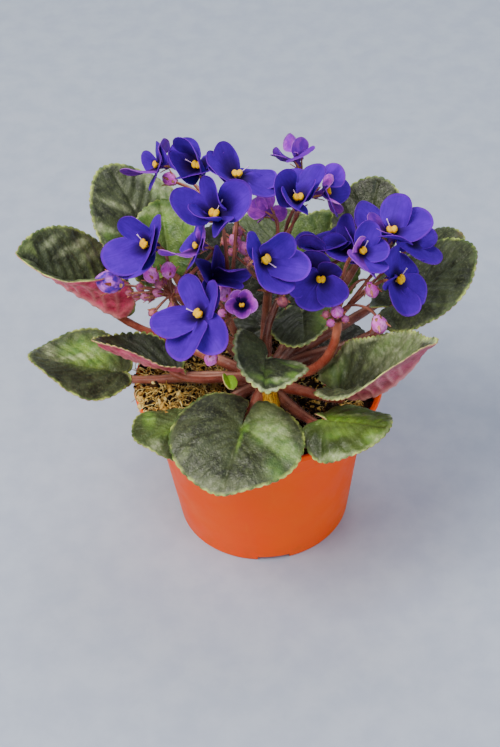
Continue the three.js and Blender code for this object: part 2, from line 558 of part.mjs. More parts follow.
function pot() {
  const p = POT;
  const stepZ = p.height - p.collarDrop;
  const floor = p.floorLift + p.floorThick;
  let solid = turned([
    [0, 0], [p.padRadius, 0], [p.padRadius, p.floorLift], [p.baseRadius - p.footWidth, p.floorLift],
    [p.baseRadius - p.footWidth, 0], [p.baseRadius - 0.6, 0], [p.baseRadius, 0.6], [p.wallTopRadius, stepZ - 0.5],
    [p.collarRadius - 0.6, stepZ], [p.collarRadius, stepZ + 0.8], [p.rimRadius - 0.3, p.height - 3],
    [p.rimRadius, p.height - 2.4], [p.rimRadius - 0.5, p.height],
    [p.rimRadius - 2.4, p.height - 0.6], [p.collarRadius - 1.6, stepZ + 2.4],
    [p.wallTopRadius - p.wall, stepZ + 0.6], [p.baseRadius - p.wall, floor + 1.4],
    [p.baseRadius - p.wall - 1.4, floor], [0, floor],
  ], p.sides);
  for (let i = 0; i < 4; i += 1) {
    const turn = rad(-90 + p.notchTurn + 90 * i);
    const notch = new THREE.BoxGeometry(p.footWidth + 4, p.notchWidth, 2 * p.notchHeight);
    notch.rotateZ(turn);
    const away = p.baseRadius - p.footWidth / 2;
    notch.translate(away * Math.cos(turn), away * Math.sin(turn), 0);
    solid = solid.subtract(geometrySolid(notch));
  }
  for (let i = 0; i < p.holes; i += 1) {
    const turn = rad(49 + 90 * i);
    const hole = new THREE.CylinderGeometry(p.holeRadius, p.holeRadius, 20, 12);
    hole.rotateX(Math.PI / 2);
    hole.translate(p.holeRing * Math.cos(turn), p.holeRing * Math.sin(turn), 0);
    solid = solid.subtract(geometrySolid(hole));
  }
  return fromSolid('pot', solid, COLOURS.pot, 0.5);
}

function geometrySolid(geometry) {
  const plain = new THREE.BufferGeometry();
  plain.setAttribute('position', geometry.getAttribute('position'));
  plain.setIndex(geometry.getIndex());
  const merged = mergeVertices(plain, 1e-4);
  const at = merged.getAttribute('position');
  const points = Array.from({ length: at.count }, (_, i) => vec(at.getX(i), at.getY(i), at.getZ(i)));
  return toSolid(points, Array.from(merged.getIndex().array));
}

function soil() {
  const p = POT;
  const s = SOIL;
  const stepZ = p.height - p.collarDrop;
  const slope = (p.wallTopRadius - p.baseRadius) / (stepZ - 0.5);
  const low = p.floorLift + p.floorThick + s.gap;
  const foot = p.baseRadius - p.wall + slope * (low + 2) - s.gap - 1.2;
  const neck = p.wallTopRadius - p.wall - s.gap - 0.5;
  const collar = p.collarRadius - p.wall - s.gap + (s.top - stepZ) * 0.1;
  const points = [];
  const index = [];
  const rings = [[0, low], [foot - 2, low], [foot, low + 2], [neck, stepZ - 1], [neck + 1.2, stepZ + 2.9],
    [collar - 1.3, s.top - 0.6], [44, s.top], [28, s.top], [s.holeRadius + 6, s.top], [s.holeRadius, s.top],
    [s.holeRadius, s.top - s.holeDepth], [0, s.top - s.holeDepth]];
  const rows = rings.map(([r, z], i) => {
    const inner = i >= 9;
    const [x, y] = inner ? [CROWN.x, CROWN.y] : i === 8 ? [CROWN.x, CROWN.y] : [0, 0];
    if (r === 0) {
      points.push(vec(x, y, z));
      return [points.length - 1];
    }
    const row = [];
    for (let k = 0; k < s.sides; k += 1) {
      const turn = 2 * Math.PI * k / s.sides;
      const bumps = i >= 5 && i <= 8 ? s.bump * Math.sin(3.1 * i + 2.4 * k) * Math.cos(1.7 * k + i) : 0;
      row.push(points.length);
      points.push(vec(x + r * Math.cos(turn), y + r * Math.sin(turn), z + bumps));
    }
    return row;
  });
  for (let i = 0; i < rows.length - 1; i += 1) {
    const [a, b] = [rows[i], rows[i + 1]];
    for (let k = 0; k < s.sides; k += 1) {
      const next = (k + 1) % s.sides;
      if (a.length > 1 && b.length > 1) index.push(a[k], a[next], b[next], a[k], b[next], b[k]);
      else if (a.length > 1) index.push(a[k], a[next], b[0]);
      else index.push(a[0], b[next], b[k]);
    }
  }
  return toMesh('soil', points, index, COLOURS.soil, 0.95);
}

const group = new THREE.Group();
group.name = 'potted_african_violet';
group.add(pot(), soil(), crown());
for (const key of Object.keys(LEAVES)) group.add(leafBlade(key));
for (const key of Object.keys(SPRAYS)) group.add(spray(key));
for (const key of Object.keys(BLOOMS)) group.add(bloomSheet(key));
for (const key of ANTHERS) group.add(antherPair(key));

export default group;
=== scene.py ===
# African violet in a round nursery pot: fine leaves, petals, stalks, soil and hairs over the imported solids.
# Lengths in the tables are millimetres and angles are degrees; meshes are stored in metres, +Z up.
import math

import bmesh
import bpy
import numpy as np
from mathutils import Matrix, Vector


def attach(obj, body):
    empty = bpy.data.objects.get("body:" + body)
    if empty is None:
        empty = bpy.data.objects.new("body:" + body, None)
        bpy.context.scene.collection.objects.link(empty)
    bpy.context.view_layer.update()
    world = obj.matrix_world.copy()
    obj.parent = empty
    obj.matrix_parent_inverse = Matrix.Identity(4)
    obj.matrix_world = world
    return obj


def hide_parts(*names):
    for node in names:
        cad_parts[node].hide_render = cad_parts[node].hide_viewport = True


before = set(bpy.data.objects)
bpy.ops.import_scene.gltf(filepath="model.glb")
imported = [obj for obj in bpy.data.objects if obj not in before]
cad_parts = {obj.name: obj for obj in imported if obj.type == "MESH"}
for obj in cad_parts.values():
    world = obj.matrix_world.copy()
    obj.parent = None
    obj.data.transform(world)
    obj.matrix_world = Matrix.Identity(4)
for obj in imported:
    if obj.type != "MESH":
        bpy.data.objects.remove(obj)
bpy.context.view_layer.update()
mm = 0.001
turnRound = 2 * math.pi
scene = bpy.context.scene


# Camera: the photo's view, found from the pot's rim and base.
view = {"lens": 72.3, "sensor": 36, "elevation": 42, "distance": 720, "target": (-4, 0, 86.5), "roll": -3,
        "nearest": 10}


def addCamera():
    rise = math.radians(view["elevation"])
    roll = math.radians(view["roll"])
    back = Vector((0, -math.cos(rise), math.sin(rise)))
    flat = Vector((1, 0, 0))
    steep = back.cross(flat)
    right = flat * math.cos(roll) + steep * math.sin(roll)
    up = steep * math.cos(roll) - flat * math.sin(roll)
    data = bpy.data.cameras.new("photoCamera")
    data.lens = view["lens"]
    data.sensor_width = view["sensor"]
    data.clip_start = view["nearest"] * mm
    camera = bpy.data.objects.new("photoCamera", data)
    scene.collection.objects.link(camera)
    place = (Vector(view["target"]) + back * view["distance"]) * mm
    camera.matrix_world = Matrix([(*axes,) for axes in zip(right, up, back, place)] + [(0, 0, 0, 1)])
    scene.camera = camera


addCamera()
print("camera set")


# Small helpers for vectors and curves.
def vec(*values):
    return np.array(values, float)


def unit(v):
    return v / np.linalg.norm(v)


def heading(azimuth, rise):
    # The direction with this azimuth and rise, in radians.
    return vec(math.cos(azimuth) * math.cos(rise), math.sin(azimuth) * math.cos(rise), math.sin(rise))


def smooth(t):
    t = np.clip(t, 0.0, 1.0)
    return t * t * (3 - 2 * t)


def bell(t, power=2):
    return np.exp(-t ** power)


def twice(values):
    # The same values for both skins of a sheet.
    return np.concatenate([values, values])


def ringAngles(sides):
    return np.arange(sides) * turnRound / sides


def bezier(p0, p1, p2, p3, steps):
    t = np.linspace(0, 1, steps + 1)[:, None]
    s = 1 - t
    return s ** 3 * p0 + 3 * s * s * t * p1 + 3 * s * t * t * p2 + t ** 3 * p3


def resample(line, count):
    # Points at equal steps along a line, both ends included.
    steps = np.linalg.norm(np.diff(line, axis=0), axis=1)
    total = np.concatenate([[0], np.cumsum(steps)])
    want = np.linspace(0, total[-1], count + 1)
    return np.stack([np.interp(want, total, line[:, k]) for k in range(line.shape[1])], 1)


def waves(x, y, seed, size, count=9):
    # A cheap smooth noise: a few sine waves in seeded directions.
    rng = np.random.default_rng(seed)
    total = np.zeros_like(x)
    for _ in range(count):
        angle, phase = rng.uniform(0, turnRound, 2)
        scale = size * rng.uniform(0.6, 1.7)
        total += np.sin((x * math.cos(angle) + y * math.sin(angle)) * turnRound / scale + phase)
    return total / math.sqrt(count)


def shade(code):
    parts = [int(code[i:i + 2], 16) / 255 for i in (1, 3, 5)]
    linear = [c / 12.92 if c <= 0.04045 else ((c + 0.055) / 1.055) ** 2.4 for c in parts]
    return (*linear, 1.0)


# Meshes: points and faces are gathered in a store, then shown as pieces.
class Store:
    # Points in millimetres, faces and named values of one piece while it is put together.
    def __init__(self):
        self.points = []
        self.faces = []
        self.values = {}
        self.flat = []
        self.count = 0

    def add(self, points, faces, flat=None, **values):
        points = np.asarray(points, float)
        n = len(points)
        self.points.append(points)
        self.faces.extend(tuple(i + self.count for i in face) for face in faces)
        self.flat.append(np.zeros((n, 2)) if flat is None else np.asarray(flat, float))
        for key in set(values) | set(self.values):
            rows = self.values.setdefault(key, [np.zeros(self.count)] if self.count else [])
            rows.append(np.broadcast_to(np.asarray(values.get(key, 0.0), float), (n,)).copy())
        self.count += n


def meshOf(name, store):
    mesh = bpy.data.meshes.new(name)
    mesh.from_pydata((np.concatenate(store.points) * mm).tolist(), [], store.faces)
    for key, rows in store.values.items():
        layer = mesh.attributes.new(key, "FLOAT", "POINT")
        layer.data.foreach_set("value", np.concatenate(rows).astype(np.float32))
    corners = np.empty(len(mesh.loops), np.int32)
    mesh.loops.foreach_get("vertex_index", corners)
    layer = mesh.uv_layers.new(name="flat")
    layer.data.foreach_set("uv", (np.concatenate(store.flat)[corners] * 0.01).ravel().astype(np.float32))
    mesh.shade_smooth()
    mesh.update()
    return mesh


def faceOut(mesh):
    # A closed mesh whose signed volume is negative is inside out.
    work = bmesh.new()
    work.from_mesh(mesh)
    if work.calc_volume(signed=True) < 0:
        bmesh.ops.reverse_faces(work, faces=work.faces)
    work.to_mesh(mesh)
    work.free()
    return mesh


def showMesh(name, mesh, material):
    mesh.materials.clear()
    mesh.materials.append(material)
    obj = bpy.data.objects.new(name, mesh)
    scene.collection.objects.link(obj)
    return obj


def showPiece(name, mesh, finish, slotName, *nodes):
    # Every piece rides with the one body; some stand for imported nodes.
    obj = showMesh(name, mesh, finishes[finish])
    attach(obj, "root")
    if nodes:
        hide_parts(*nodes)
    return obj


def lathe(profile, sides):
    # Rings about the vertical axis, closed at both ends by a single point.
    angles = ringAngles(sides)
    points, rows, start = [], [], 0
    for r, z in profile:
        ring = vec(0, 0, z)[None] if r == 0 else np.stack(
            [r * np.cos(angles), r * np.sin(angles), np.full(sides, z)], 1)
        points.append(ring)
        rows.append(range(start, start + len(ring)))
        start += len(ring)
    faces = []
    for a, b in zip(rows, rows[1:]):
        for k in range(sides):
            n = (k + 1) % sides
            if len(a) > 1 and len(b) > 1:
                faces.append((a[k], a[n], b[n], b[k]))
            elif len(a) > 1:
                faces.append((a[k], a[n], b[0]))
            elif len(b) > 1:
                faces.append((a[0], b[n], b[k]))
    return np.concatenate(points), faces


def discFaces(counts):
    # Rings round a middle point; a ring may have as many points as the last, or twice as many.
    faces = [(0, 1 + k, 1 + (k + 1) % counts[0]) for k in range(counts[0])]
    start = 1
    for a, b in zip(counts, counts[1:]):
        after = start + a
        for k in range(a):
            n = (k + 1) % a
            if a == b:
                faces.append((start + k, after + k, after + n, start + n))
            else:
                faces.append((start + k, after + 2 * k, after + 2 * k + 1))
                faces.append((start + k, after + 2 * k + 1, start + n))
                faces.append((start + n, after + 2 * k + 1, after + (2 * k + 2) % b))
        start = after
    return faces, start


def cappedFaces(sides, rings):
    # A run of equal rings with a middle point at each end.
    faces, last = discFaces([sides] * rings)
    tip = last + sides
    return faces + [(last + k, tip, last + (k + 1) % sides) for k in range(sides)]


def sheetFaces(rows, columns):
    # The faces of a sheet of rows and columns, and the loop of points round it.
    grid = np.arange(rows * columns).reshape(rows, columns)
    faces = np.stack([grid[:-1, 1:], grid[1:, 1:], grid[1:, :-1], grid[:-1, :-1]], -1).reshape(-1, 4)
    border = np.concatenate([grid[0, ::-1], grid[1:, 0], grid[-1, 1:], grid[-2:0:-1, -1]])
    return [tuple(face) for face in faces.tolist()], border.tolist()


def pointNormals(points, faces):
    normals = np.zeros_like(points)
    tris = np.array([(f[0], f[i], f[i + 1]) for f in faces for i in range(1, len(f) - 1)])
    n = np.cross(points[tris[:, 1]] - points[tris[:, 0]], points[tris[:, 2]] - points[tris[:, 0]])
    for k in range(3):
        np.add.at(normals, tris[:, k], n)
    return normals / np.maximum(1e-9, np.linalg.norm(normals, axis=1))[:, None]


def closedSheet(points, faces, border, above, below):
    # Two skins, above and below the middle surface, joined round the border.
    n = len(points)
    normals = pointNormals(points, faces)
    both = np.concatenate([points + normals * above[:, None], points - normals * below[:, None]])
    shell = list(faces) + [tuple(i + n for i in reversed(f)) for f in faces]
    for a, b in zip(border, border[1:] + border[:1]):
        shell.append((b, a, a + n, b + n))
    return both, shell


# Node trees
def put(tree, kind, values=None, **settings):
    node = tree.nodes.new(kind)
    for key, value in settings.items():
        setattr(node, key, value)
    for key, value in (values or {}).items():
        if isinstance(value, bpy.types.NodeSocket):
            tree.links.new(value, node.inputs[key])
        else:
            node.inputs[key].default_value = value
    return node


def maths(tree, operation, a, b=0.0, clamp=False):
    return put(tree, "ShaderNodeMath", {0: a, 1: b}, operation=operation, use_clamp=clamp).outputs[0]


def vectorMaths(tree, operation, a, b, second=1):
    return put(tree, "ShaderNodeVectorMath", {0: a, second: b}, operation=operation).outputs[0]


def inUse(sockets, name="Value"):
    # Nodes with several data types keep a socket for each, and only one is in use.
    return next(s for s in sockets if s.enabled and s.name == name)


def newTree(name, inputs):
    tree = bpy.data.node_groups.new(name, "GeometryNodeTree")
    tree.interface.new_socket("Geometry", in_out="INPUT", socket_type="NodeSocketGeometry")
    tree.interface.new_socket("Geometry", in_out="OUTPUT", socket_type="NodeSocketGeometry")
    for label, kind in inputs.items():
        tree.interface.new_socket(label, in_out="INPUT", socket_type="NodeSocket" + kind)
    return tree, put(tree, "NodeGroupInput").outputs


def closeTree(tree, geometry, material):
    real = put(tree, "GeometryNodeRealizeInstances", {"Geometry": geometry}).outputs[0]
    dressed = put(tree, "GeometryNodeSetMaterial", {"Geometry": real, "Material": material}).outputs[0]
    put(tree, "NodeGroupOutput", {0: dressed})


def runTree(tree, mesh, name, values):
    # Runs the tree on a mesh and gives back the plain mesh that comes out.
    helper = bpy.data.objects.new(name + "Source", mesh)
    scene.collection.objects.link(helper)
    modifier = helper.modifiers.new(tree.name, "NODES")
    modifier.node_group = tree
    for item in tree.interface.items_tree:
        if item.in_out == "INPUT" and item.name in values:
            modifier[item.identifier] = values[item.name]
    made = bpy.data.meshes.new_from_object(helper.evaluated_get(bpy.context.evaluated_depsgraph_get()))
    made.name = name
    helper.modifiers.clear()
    bpy.data.objects.remove(helper)
    return made


def randomVector(tree, low, high, seed=0):
    return put(tree, "FunctionNodeRandomValue", {"Min": low, "Max": high, "Seed": seed},
               data_type="FLOAT_VECTOR").outputs[0]


def scattered(tree, given, density):
    return put(tree, "GeometryNodeDistributePointsOnFaces", {
        "Mesh": given["Geometry"], "Density": density, "Seed": given["Seed"]}).outputs


def copiesOn(tree, points, shape, angles, scale=(1, 1, 1)):
    spin = put(tree, "FunctionNodeEulerToRotation", {0: angles}).outputs[0]
    return put(tree, "GeometryNodeInstanceOnPoints", {
        "Points": points, "Instance": shape, "Rotation": spin, "Scale": scale}).outputs[0]


# Shader groups: a soft blotch mask and a fine skin bump, used by most finishes.
def newGroup(name, inputs, outputs):
    tree = bpy.data.node_groups.new(name, "ShaderNodeTree")
    tree.interface.new_socket("Vector", in_out="INPUT", socket_type="NodeSocketVector")
    for label, value in inputs.items():
        socket = tree.interface.new_socket(label, in_out="INPUT", socket_type="NodeSocketFloat")
        socket.default_value = value
    for label, kind in outputs.items():
        tree.interface.new_socket(label, in_out="OUTPUT", socket_type="NodeSocket" + kind)
    return tree, put(tree, "NodeGroupInput").outputs


def blotchGroup():
    tree, given = newGroup("softBlotch", {"Scale": 40, "Low": 0.4, "High": 0.62}, {"Mask": "Float"})
    noise = put(tree, "ShaderNodeTexNoise", {"Vector": given["Vector"], "Scale": given["Scale"], "Detail": 4.0,
                                             "Roughness": 0.6}).outputs[0]
    mask = put(tree, "ShaderNodeMapRange", {"Value": noise, "From Min": given["Low"], "From Max": given["High"]},
               interpolation_type="SMOOTHSTEP").outputs[0]
    put(tree, "NodeGroupOutput", {0: mask})
    return tree


def grainGroup():
    tree, given = newGroup("skinGrain", {"Scale": 400, "Strength": 0.4, "Distance": 0.0003},
                           {"Normal": "Vector", "Height": "Float"})
    where = {"Vector": given["Vector"], "Scale": given["Scale"]}
    cells = put(tree, "ShaderNodeTexVoronoi", where).outputs[0]
    noise = put(tree, "ShaderNodeTexNoise", {**where, "Detail": 3.0}).outputs[0]
    height = maths(tree, "SUBTRACT", noise, maths(tree, "MULTIPLY", cells, 0.8))
    bump = put(tree, "ShaderNodeBump", {"Height": height, "Strength": given["Strength"],
                                        "Distance": given["Distance"]}).outputs[0]
    put(tree, "NodeGroupOutput", {0: bump, 1: height})
    return tree


softBlotch = blotchGroup()
skinGrain = grainGroup()


class Paint:
    # The nodes of one finish while they are put together; colours may be given as codes.
    def __init__(self, tree, place):
        self.tree = tree
        self.place = place

    def blotch(self, scale, low=0.4, high=0.62, place=None):
        return put(self.tree, "ShaderNodeGroup", {"Vector": place or self.place, "Scale": scale, "Low": low,
                                                  "High": high}, node_tree=softBlotch).outputs[0]

    def grain(self, scale, strength, distance, place=None):
        return put(self.tree, "ShaderNodeGroup", {"Vector": place or self.place, "Scale": scale,
                                                  "Strength": strength, "Distance": distance},
                   node_tree=skinGrain).outputs[0]

    def mix(self, factor, a, b, blend="MIX"):
        a, b = (shade(c) if isinstance(c, str) else c for c in (a, b))
        return put(self.tree, "ShaderNodeMix", {0: factor, 6: a, 7: b}, data_type="RGBA",
                   blend_type=blend).outputs[2]

    def times(self, a, b):
        return maths(self.tree, "MULTIPLY", a, b)

    def named(self, attribute):
        return put(self.tree, "ShaderNodeAttribute", attribute_name=attribute).outputs["Fac"]

    def ranged(self, value, low, high, toLow=0.0, toHigh=1.0):
        return put(self.tree, "ShaderNodeMapRange", {"Value": value, "From Min": low, "From Max": high,
                                                     "To Min": toLow, "To Max": toHigh}).outputs[0]

    def stretched(self, *scale):
        return put(self.tree, "ShaderNodeMapping", {"Vector": self.place, "Scale": scale}).outputs[0]

    def heightOf(self, vector):
        return put(self.tree, "ShaderNodeSeparateXYZ", {0: vector}).outputs[2]


# Finishes: each function gives the colour, the bump and sometimes the roughness of one material.
def potFinish(p):
    colour = p.mix(p.blotch(30, 0.3, 0.8), "#ff5200", "#ff6002")
    scuff = p.blotch(190, 0.6, 0.8, p.stretched(1, 1, 0.25))
    colour = p.mix(p.times(scuff, 0.2), colour, "#ff7c18")
    low = p.ranged(p.heightOf(p.place), 0.0, 0.012, 0.35, 0.0)
    dust = p.times(low, p.blotch(120, 0.35, 0.7))
    return p.mix(dust, colour, "#b9663a"), p.grain(900, 0.08, 0.0002), p.ranged(p.blotch(80), 0, 1, 0.4, 0.52)


def soilFinish(p):
    colour = p.mix(p.blotch(180, 0.42, 0.6), "#120c07", "#2c1c0e")
    return p.mix(p.blotch(420, 0.6, 0.68), colour, "#6a4a20"), p.grain(500, 0.9, 0.0012)


def crumbFinish(p):
    # Crumbs and fibres run from black peat to straw by the tone that each one was given.
    ramp = put(p.tree, "ShaderNodeValToRGB", {0: p.named("tone")})
    stops = ramp.color_ramp.elements
    stops[0].color, stops[1].color = shade("#120c08"), shade("#fff0a0")
    for position, code in ((0.4, "#22160c"), (0.56, "#7a5224"), (0.74, "#e6ba58")):
        stops.new(position).color = shade(code)
    colour = p.mix(p.times(p.blotch(600), 0.5), ramp.outputs[0], "#3a2614", "MULTIPLY")
    return colour, p.grain(1400, 0.5, 0.0004)


def leafFinish(p):
    vein, edge, ridge = p.named("vein"), p.named("edge"), p.named("ridge")
    top = p.mix(p.blotch(9, 0.35, 0.65), "#20251a", "#434d33")
    top = p.mix(p.times(p.blotch(70, 0.5, 0.66), 0.4), top, "#6c7652")
    # Painted highlight along the swellings between the side veins.
    lit = p.times(ridge, p.blotch(6, 0.47, 0.68))
    top = p.mix(p.times(lit, 0.65), top, "#93ab60")
    top = p.mix(p.times(vein, 0.3), top, "#4c5c26")
    green = p.mix(p.blotch(14), "#4c7e30", "#80a84c")
    green = p.mix(p.times(vein, 0.5), green, "#a4c83a")
    # The young tint is partly light green tissue and partly painted green highlight.
    top = p.mix(p.named("young"), top, green)
    # Pale painted highlights, in patches and along some rims.
    top = p.mix(p.named("frost"), top, p.mix(p.blotch(35), "#9cae78", "#dbe6b8"))
    top = p.mix(p.named("lime"), top, "#86bc06")
    # Painted shade.
    top = p.mix(p.named("dim"), top, "#171b12")
    # A painted rim highlight along the margin of the top.
    top = p.mix(edge, top, p.mix(p.blotch(16, 0.42, 0.62), "#4e6a30", "#cfe672"))
    back = p.mix(p.blotch(12, 0.35, 0.65), "#b01c44", "#ff4c84")
    back = p.mix(p.named("mauve"), back, "#7a3a48")
    back = p.mix(p.times(vein, 0.85), back, "#ffaca6")
    back = p.mix(p.times(edge, 0.6), back, "#d8b088")
    colour = p.mix(p.named("under"), top, back)
    colour = p.mix(p.named("dry"), colour, "#5c3c22")
    return colour, p.grain(110, 0.5, 0.0004), p.ranged(p.blotch(40), 0, 1, 0.36, 0.55)


def stemFinish(p):
    # Warm runs from brown to red, green to lime, and what faces up gets a painted highlight.
    dark = p.mix(p.blotch(90), "#4a2620", "#865040")
    red = p.mix(p.blotch(110), "#b44c34", "#e8886a")
    colour = p.mix(p.named("warm"), dark, red)
    lift = p.heightOf(put(p.tree, "ShaderNodeNewGeometry").outputs["Normal"])
    # Painted highlight where the stem faces up.
    colour = p.mix(p.ranged(lift, 0.88, 1.0, 0.0, 0.28), colour, "#ecb89c")
    return p.mix(p.named("green"), colour, "#8fae3a"), p.grain(900, 0.4, 0.0002)


def petalFinish(p):
    # Under marks the back, pale the lilac petals, and deep how far the painted shade of the throat reaches.
    under, edge, pale = p.named("under"), p.named("edge"), p.named("pale")
    streaks = p.blotch(1.0, 0.45, 0.7, p.stretched(10, 120, 1))
    front = p.mix(p.blotch(12, 0.35, 0.7), "#4403a0", "#5404bc")
    front = p.mix(p.times(streaks, 0.3), front, "#34047c")
    front = p.mix(edge, front, "#8a20ea")
    back = p.mix(p.blotch(16), "#4a04a2", "#6008c4")
    back = p.mix(p.times(edge, 0.5), back, "#c850f8")
    lilac = p.mix(p.blotch(20), "#ac34e0", "#ea60fc")
    lilac = p.mix(p.times(streaks, 0.4), lilac, "#9c18c4")
    colour = p.mix(under, front, back)
    colour = p.mix(pale, colour, lilac)
    colour = p.mix(p.times(edge, pale), colour, "#ffb4fc")
    # Painted shade in the throat, weaker on the back.
    far = maths(p.tree, "SUBTRACT", 1.0, p.ranged(p.named("reach"), p.named("deep"), 0.1), True)
    throat = maths(p.tree, "SUBTRACT", 1.0, maths(p.tree, "POWER", far, 1.5))
    shadow = p.times(throat, p.ranged(under, 0.0, 1.0, 0.95, 0.1))
    return p.mix(shadow, colour, "#140a2a"), p.grain(160, 0.3, 0.0002)


def budFinish(p):
    pink = p.mix(p.blotch(260, 0.35, 0.65), "#ec4ce0", "#ff9cf8")
    brown = p.mix(p.blotch(300), "#7c3c38", "#cc7868")
    violet = p.mix(p.blotch(200), "#4a10b4", "#d870f4")
    colour = p.mix(p.named("brown"), pink, brown)
    colour = p.mix(p.named("violet"), colour, violet)
    # Painted shade in the creases.
    crease = p.ranged(p.named("crease"), 0.0, 1.0, 0.0, 0.6)
    return p.mix(crease, colour, "#7a2080"), p.grain(1100, 0.4, 0.0003)


def antherFinish(p):
    colour = p.mix(p.blotch(700, 0.45, 0.7), "#fccc00", "#ee9400")
    return p.mix(p.named("white"), colour, "#d0b0e4"), p.grain(2600, 0.8, 0.0002)


def rootFinish(p):
    along = p.stretched(3, 0.6, 3)
    colour = p.mix(p.blotch(300, 0.4, 0.6, along), "#b4760c", "#ecc030")
    return p.mix(p.blotch(500, 0.6, 0.7), colour, "#4a2c12"), p.grain(500, 0.9, 0.0008, along)


def floorFinish(p):
    return (p.mix(p.blotch(60, 0.3, 0.7), "#a4b0c6", "#aebacd"),)


def hairFinish(light, dark):
    return lambda p: (p.mix(p.blotch(900), dark, light),)


def newFinish(name, paint, roughness=0.5, specular=0.5, flat=False, sheen=None, **fixed):
    # Leaves and petals are painted in their own flat layout, all else in the object's place.
    material = bpy.data.materials.new(name)
    material.use_nodes = True
    tree = material.node_tree
    tree.nodes.clear()
    if flat:
        place = put(tree, "ShaderNodeUVMap", uv_map="flat").outputs[0]
    else:
        place = put(tree, "ShaderNodeTexCoord").outputs["Object"]
    sockets = {"Roughness": roughness, "Specular IOR Level": specular, **fixed}
    if sheen:
        weight, code = sheen
        sockets.update({"Sheen Weight": weight, "Sheen Roughness": 0.4, "Sheen Tint": shade(code)})
    sockets.update(zip(("Base Color", "Normal", "Roughness"), paint(Paint(tree, place))))
    skin = put(tree, "ShaderNodeBsdfPrincipled", sockets)
    put(tree, "ShaderNodeOutputMaterial", {0: skin.outputs[0]})
    return material


def newHair(name, light, dark):
    return newFinish(name, hairFinish(light, dark), 0.45, **{"Subsurface Weight": 0.1, "Subsurface Scale": 0.0005})


finishes = {
    "pot": newFinish("orangePlastic", potFinish, specular=0.08, IOR=1.47),
    "soil": newFinish("peat", soilFinish, 0.95, 0.2),
    "crumb": newFinish("peatBits", crumbFinish, 0.85, 0.25),
    "leaf": newFinish("leafSkin", leafFinish, specular=0.45, flat=True, sheen=(0.04, "#dfe8c8"), IOR=1.45),
    "stem": newFinish("redStem", stemFinish, 0.34, 0.5, sheen=(0.05, "#ffd9c8")),
    "petal": newFinish("violetPetal", petalFinish, 0.55, 0.06, flat=True),
    "bud": newFinish("pinkBud", budFinish, 0.5, 0.3, sheen=(0.08, "#ffe0f4")),
    "anther": newFinish("yellowPollen", antherFinish, 0.6, 0.12),
    "root": newFinish("oldStump", rootFinish, 0.8, 0.3),
    "leafHair": newHair("leafHair", "#acb88c", "#7c8a5c"),
    "stemHair": newHair("stemHair", "#ecc8b4", "#a07060"),
    "sepalHair": newHair("sepalHair", "#f4d4c8", "#c08c80"),
    "floor": newFinish("paleFloor", floorFinish, 0.9),
}
print("finishes made")


# Pot: its wall's profile is turned about the axis in Geometry Nodes, then notched and drilled.
pot = {
    "height": 85, "rimRadius": 60, "collarRadius": 56.5, "collarDrop": 13, "wallTop": 52.3, "base": 43,
    "wall": 1.6, "footWidth": 9, "floorLift": 2, "floorThick": 2, "padRadius": 12, "sides": 160,
    "notchWidth": 16, "notchHeight": 2.5, "notchTurn": 4, "holeRadius": 4, "holeRing": 26, "holeTurn": 49,
    "holeSides": 32, "fillet": 0.5, "filletSteps": 3, "sharp": 32,
}


def potProfile():
    p = pot
    step = p["height"] - p["collarDrop"]
    floor = p["floorLift"] + p["floorThick"]
    inner = p["base"] - p["footWidth"]
    return [
        (0, 0), (p["padRadius"], 0), (p["padRadius"], p["floorLift"]), (inner, p["floorLift"]), (inner, 0),
        (p["base"] - 0.6, 0), (p["base"], 0.6), (p["wallTop"], step - 0.5), (p["collarRadius"] - 0.6, step),
        (p["collarRadius"], step + 0.8), (p["rimRadius"] - 0.3, p["height"] - 3),
        (p["rimRadius"], p["height"] - 2.4), (p["rimRadius"] - 0.5, p["height"]),
        (p["rimRadius"] - 2.4, p["height"] - 0.6), (p["collarRadius"] - p["wall"], step + 2.4),
        (p["wallTop"] - p["wall"], step + 0.6), (p["base"] - p["wall"], floor + 1.4),
        (p["base"] - p["wall"] - 1.4, floor), (0, floor),
    ]


def ringOfCutters(tree, shape, radius, turn):
    ring = put(tree, "GeometryNodeMeshCircle", {"Vertices": 4, "Radius": radius}).outputs[0]
    where = put(tree, "GeometryNodeInputPosition").outputs[0]
    xyz = put(tree, "ShaderNodeSeparateXYZ", {0: where}).outputs
    spin = put(tree, "ShaderNodeCombineXYZ", {2: maths(tree, "ARCTAN2", xyz[1], xyz[0])}).outputs[0]
    real = put(tree, "GeometryNodeRealizeInstances", {"Geometry": copiesOn(tree, ring, shape, spin)}).outputs[0]
    return put(tree, "GeometryNodeTransform", {"Geometry": real, "Rotation": (0, 0, math.radians(turn))}).outputs[0]


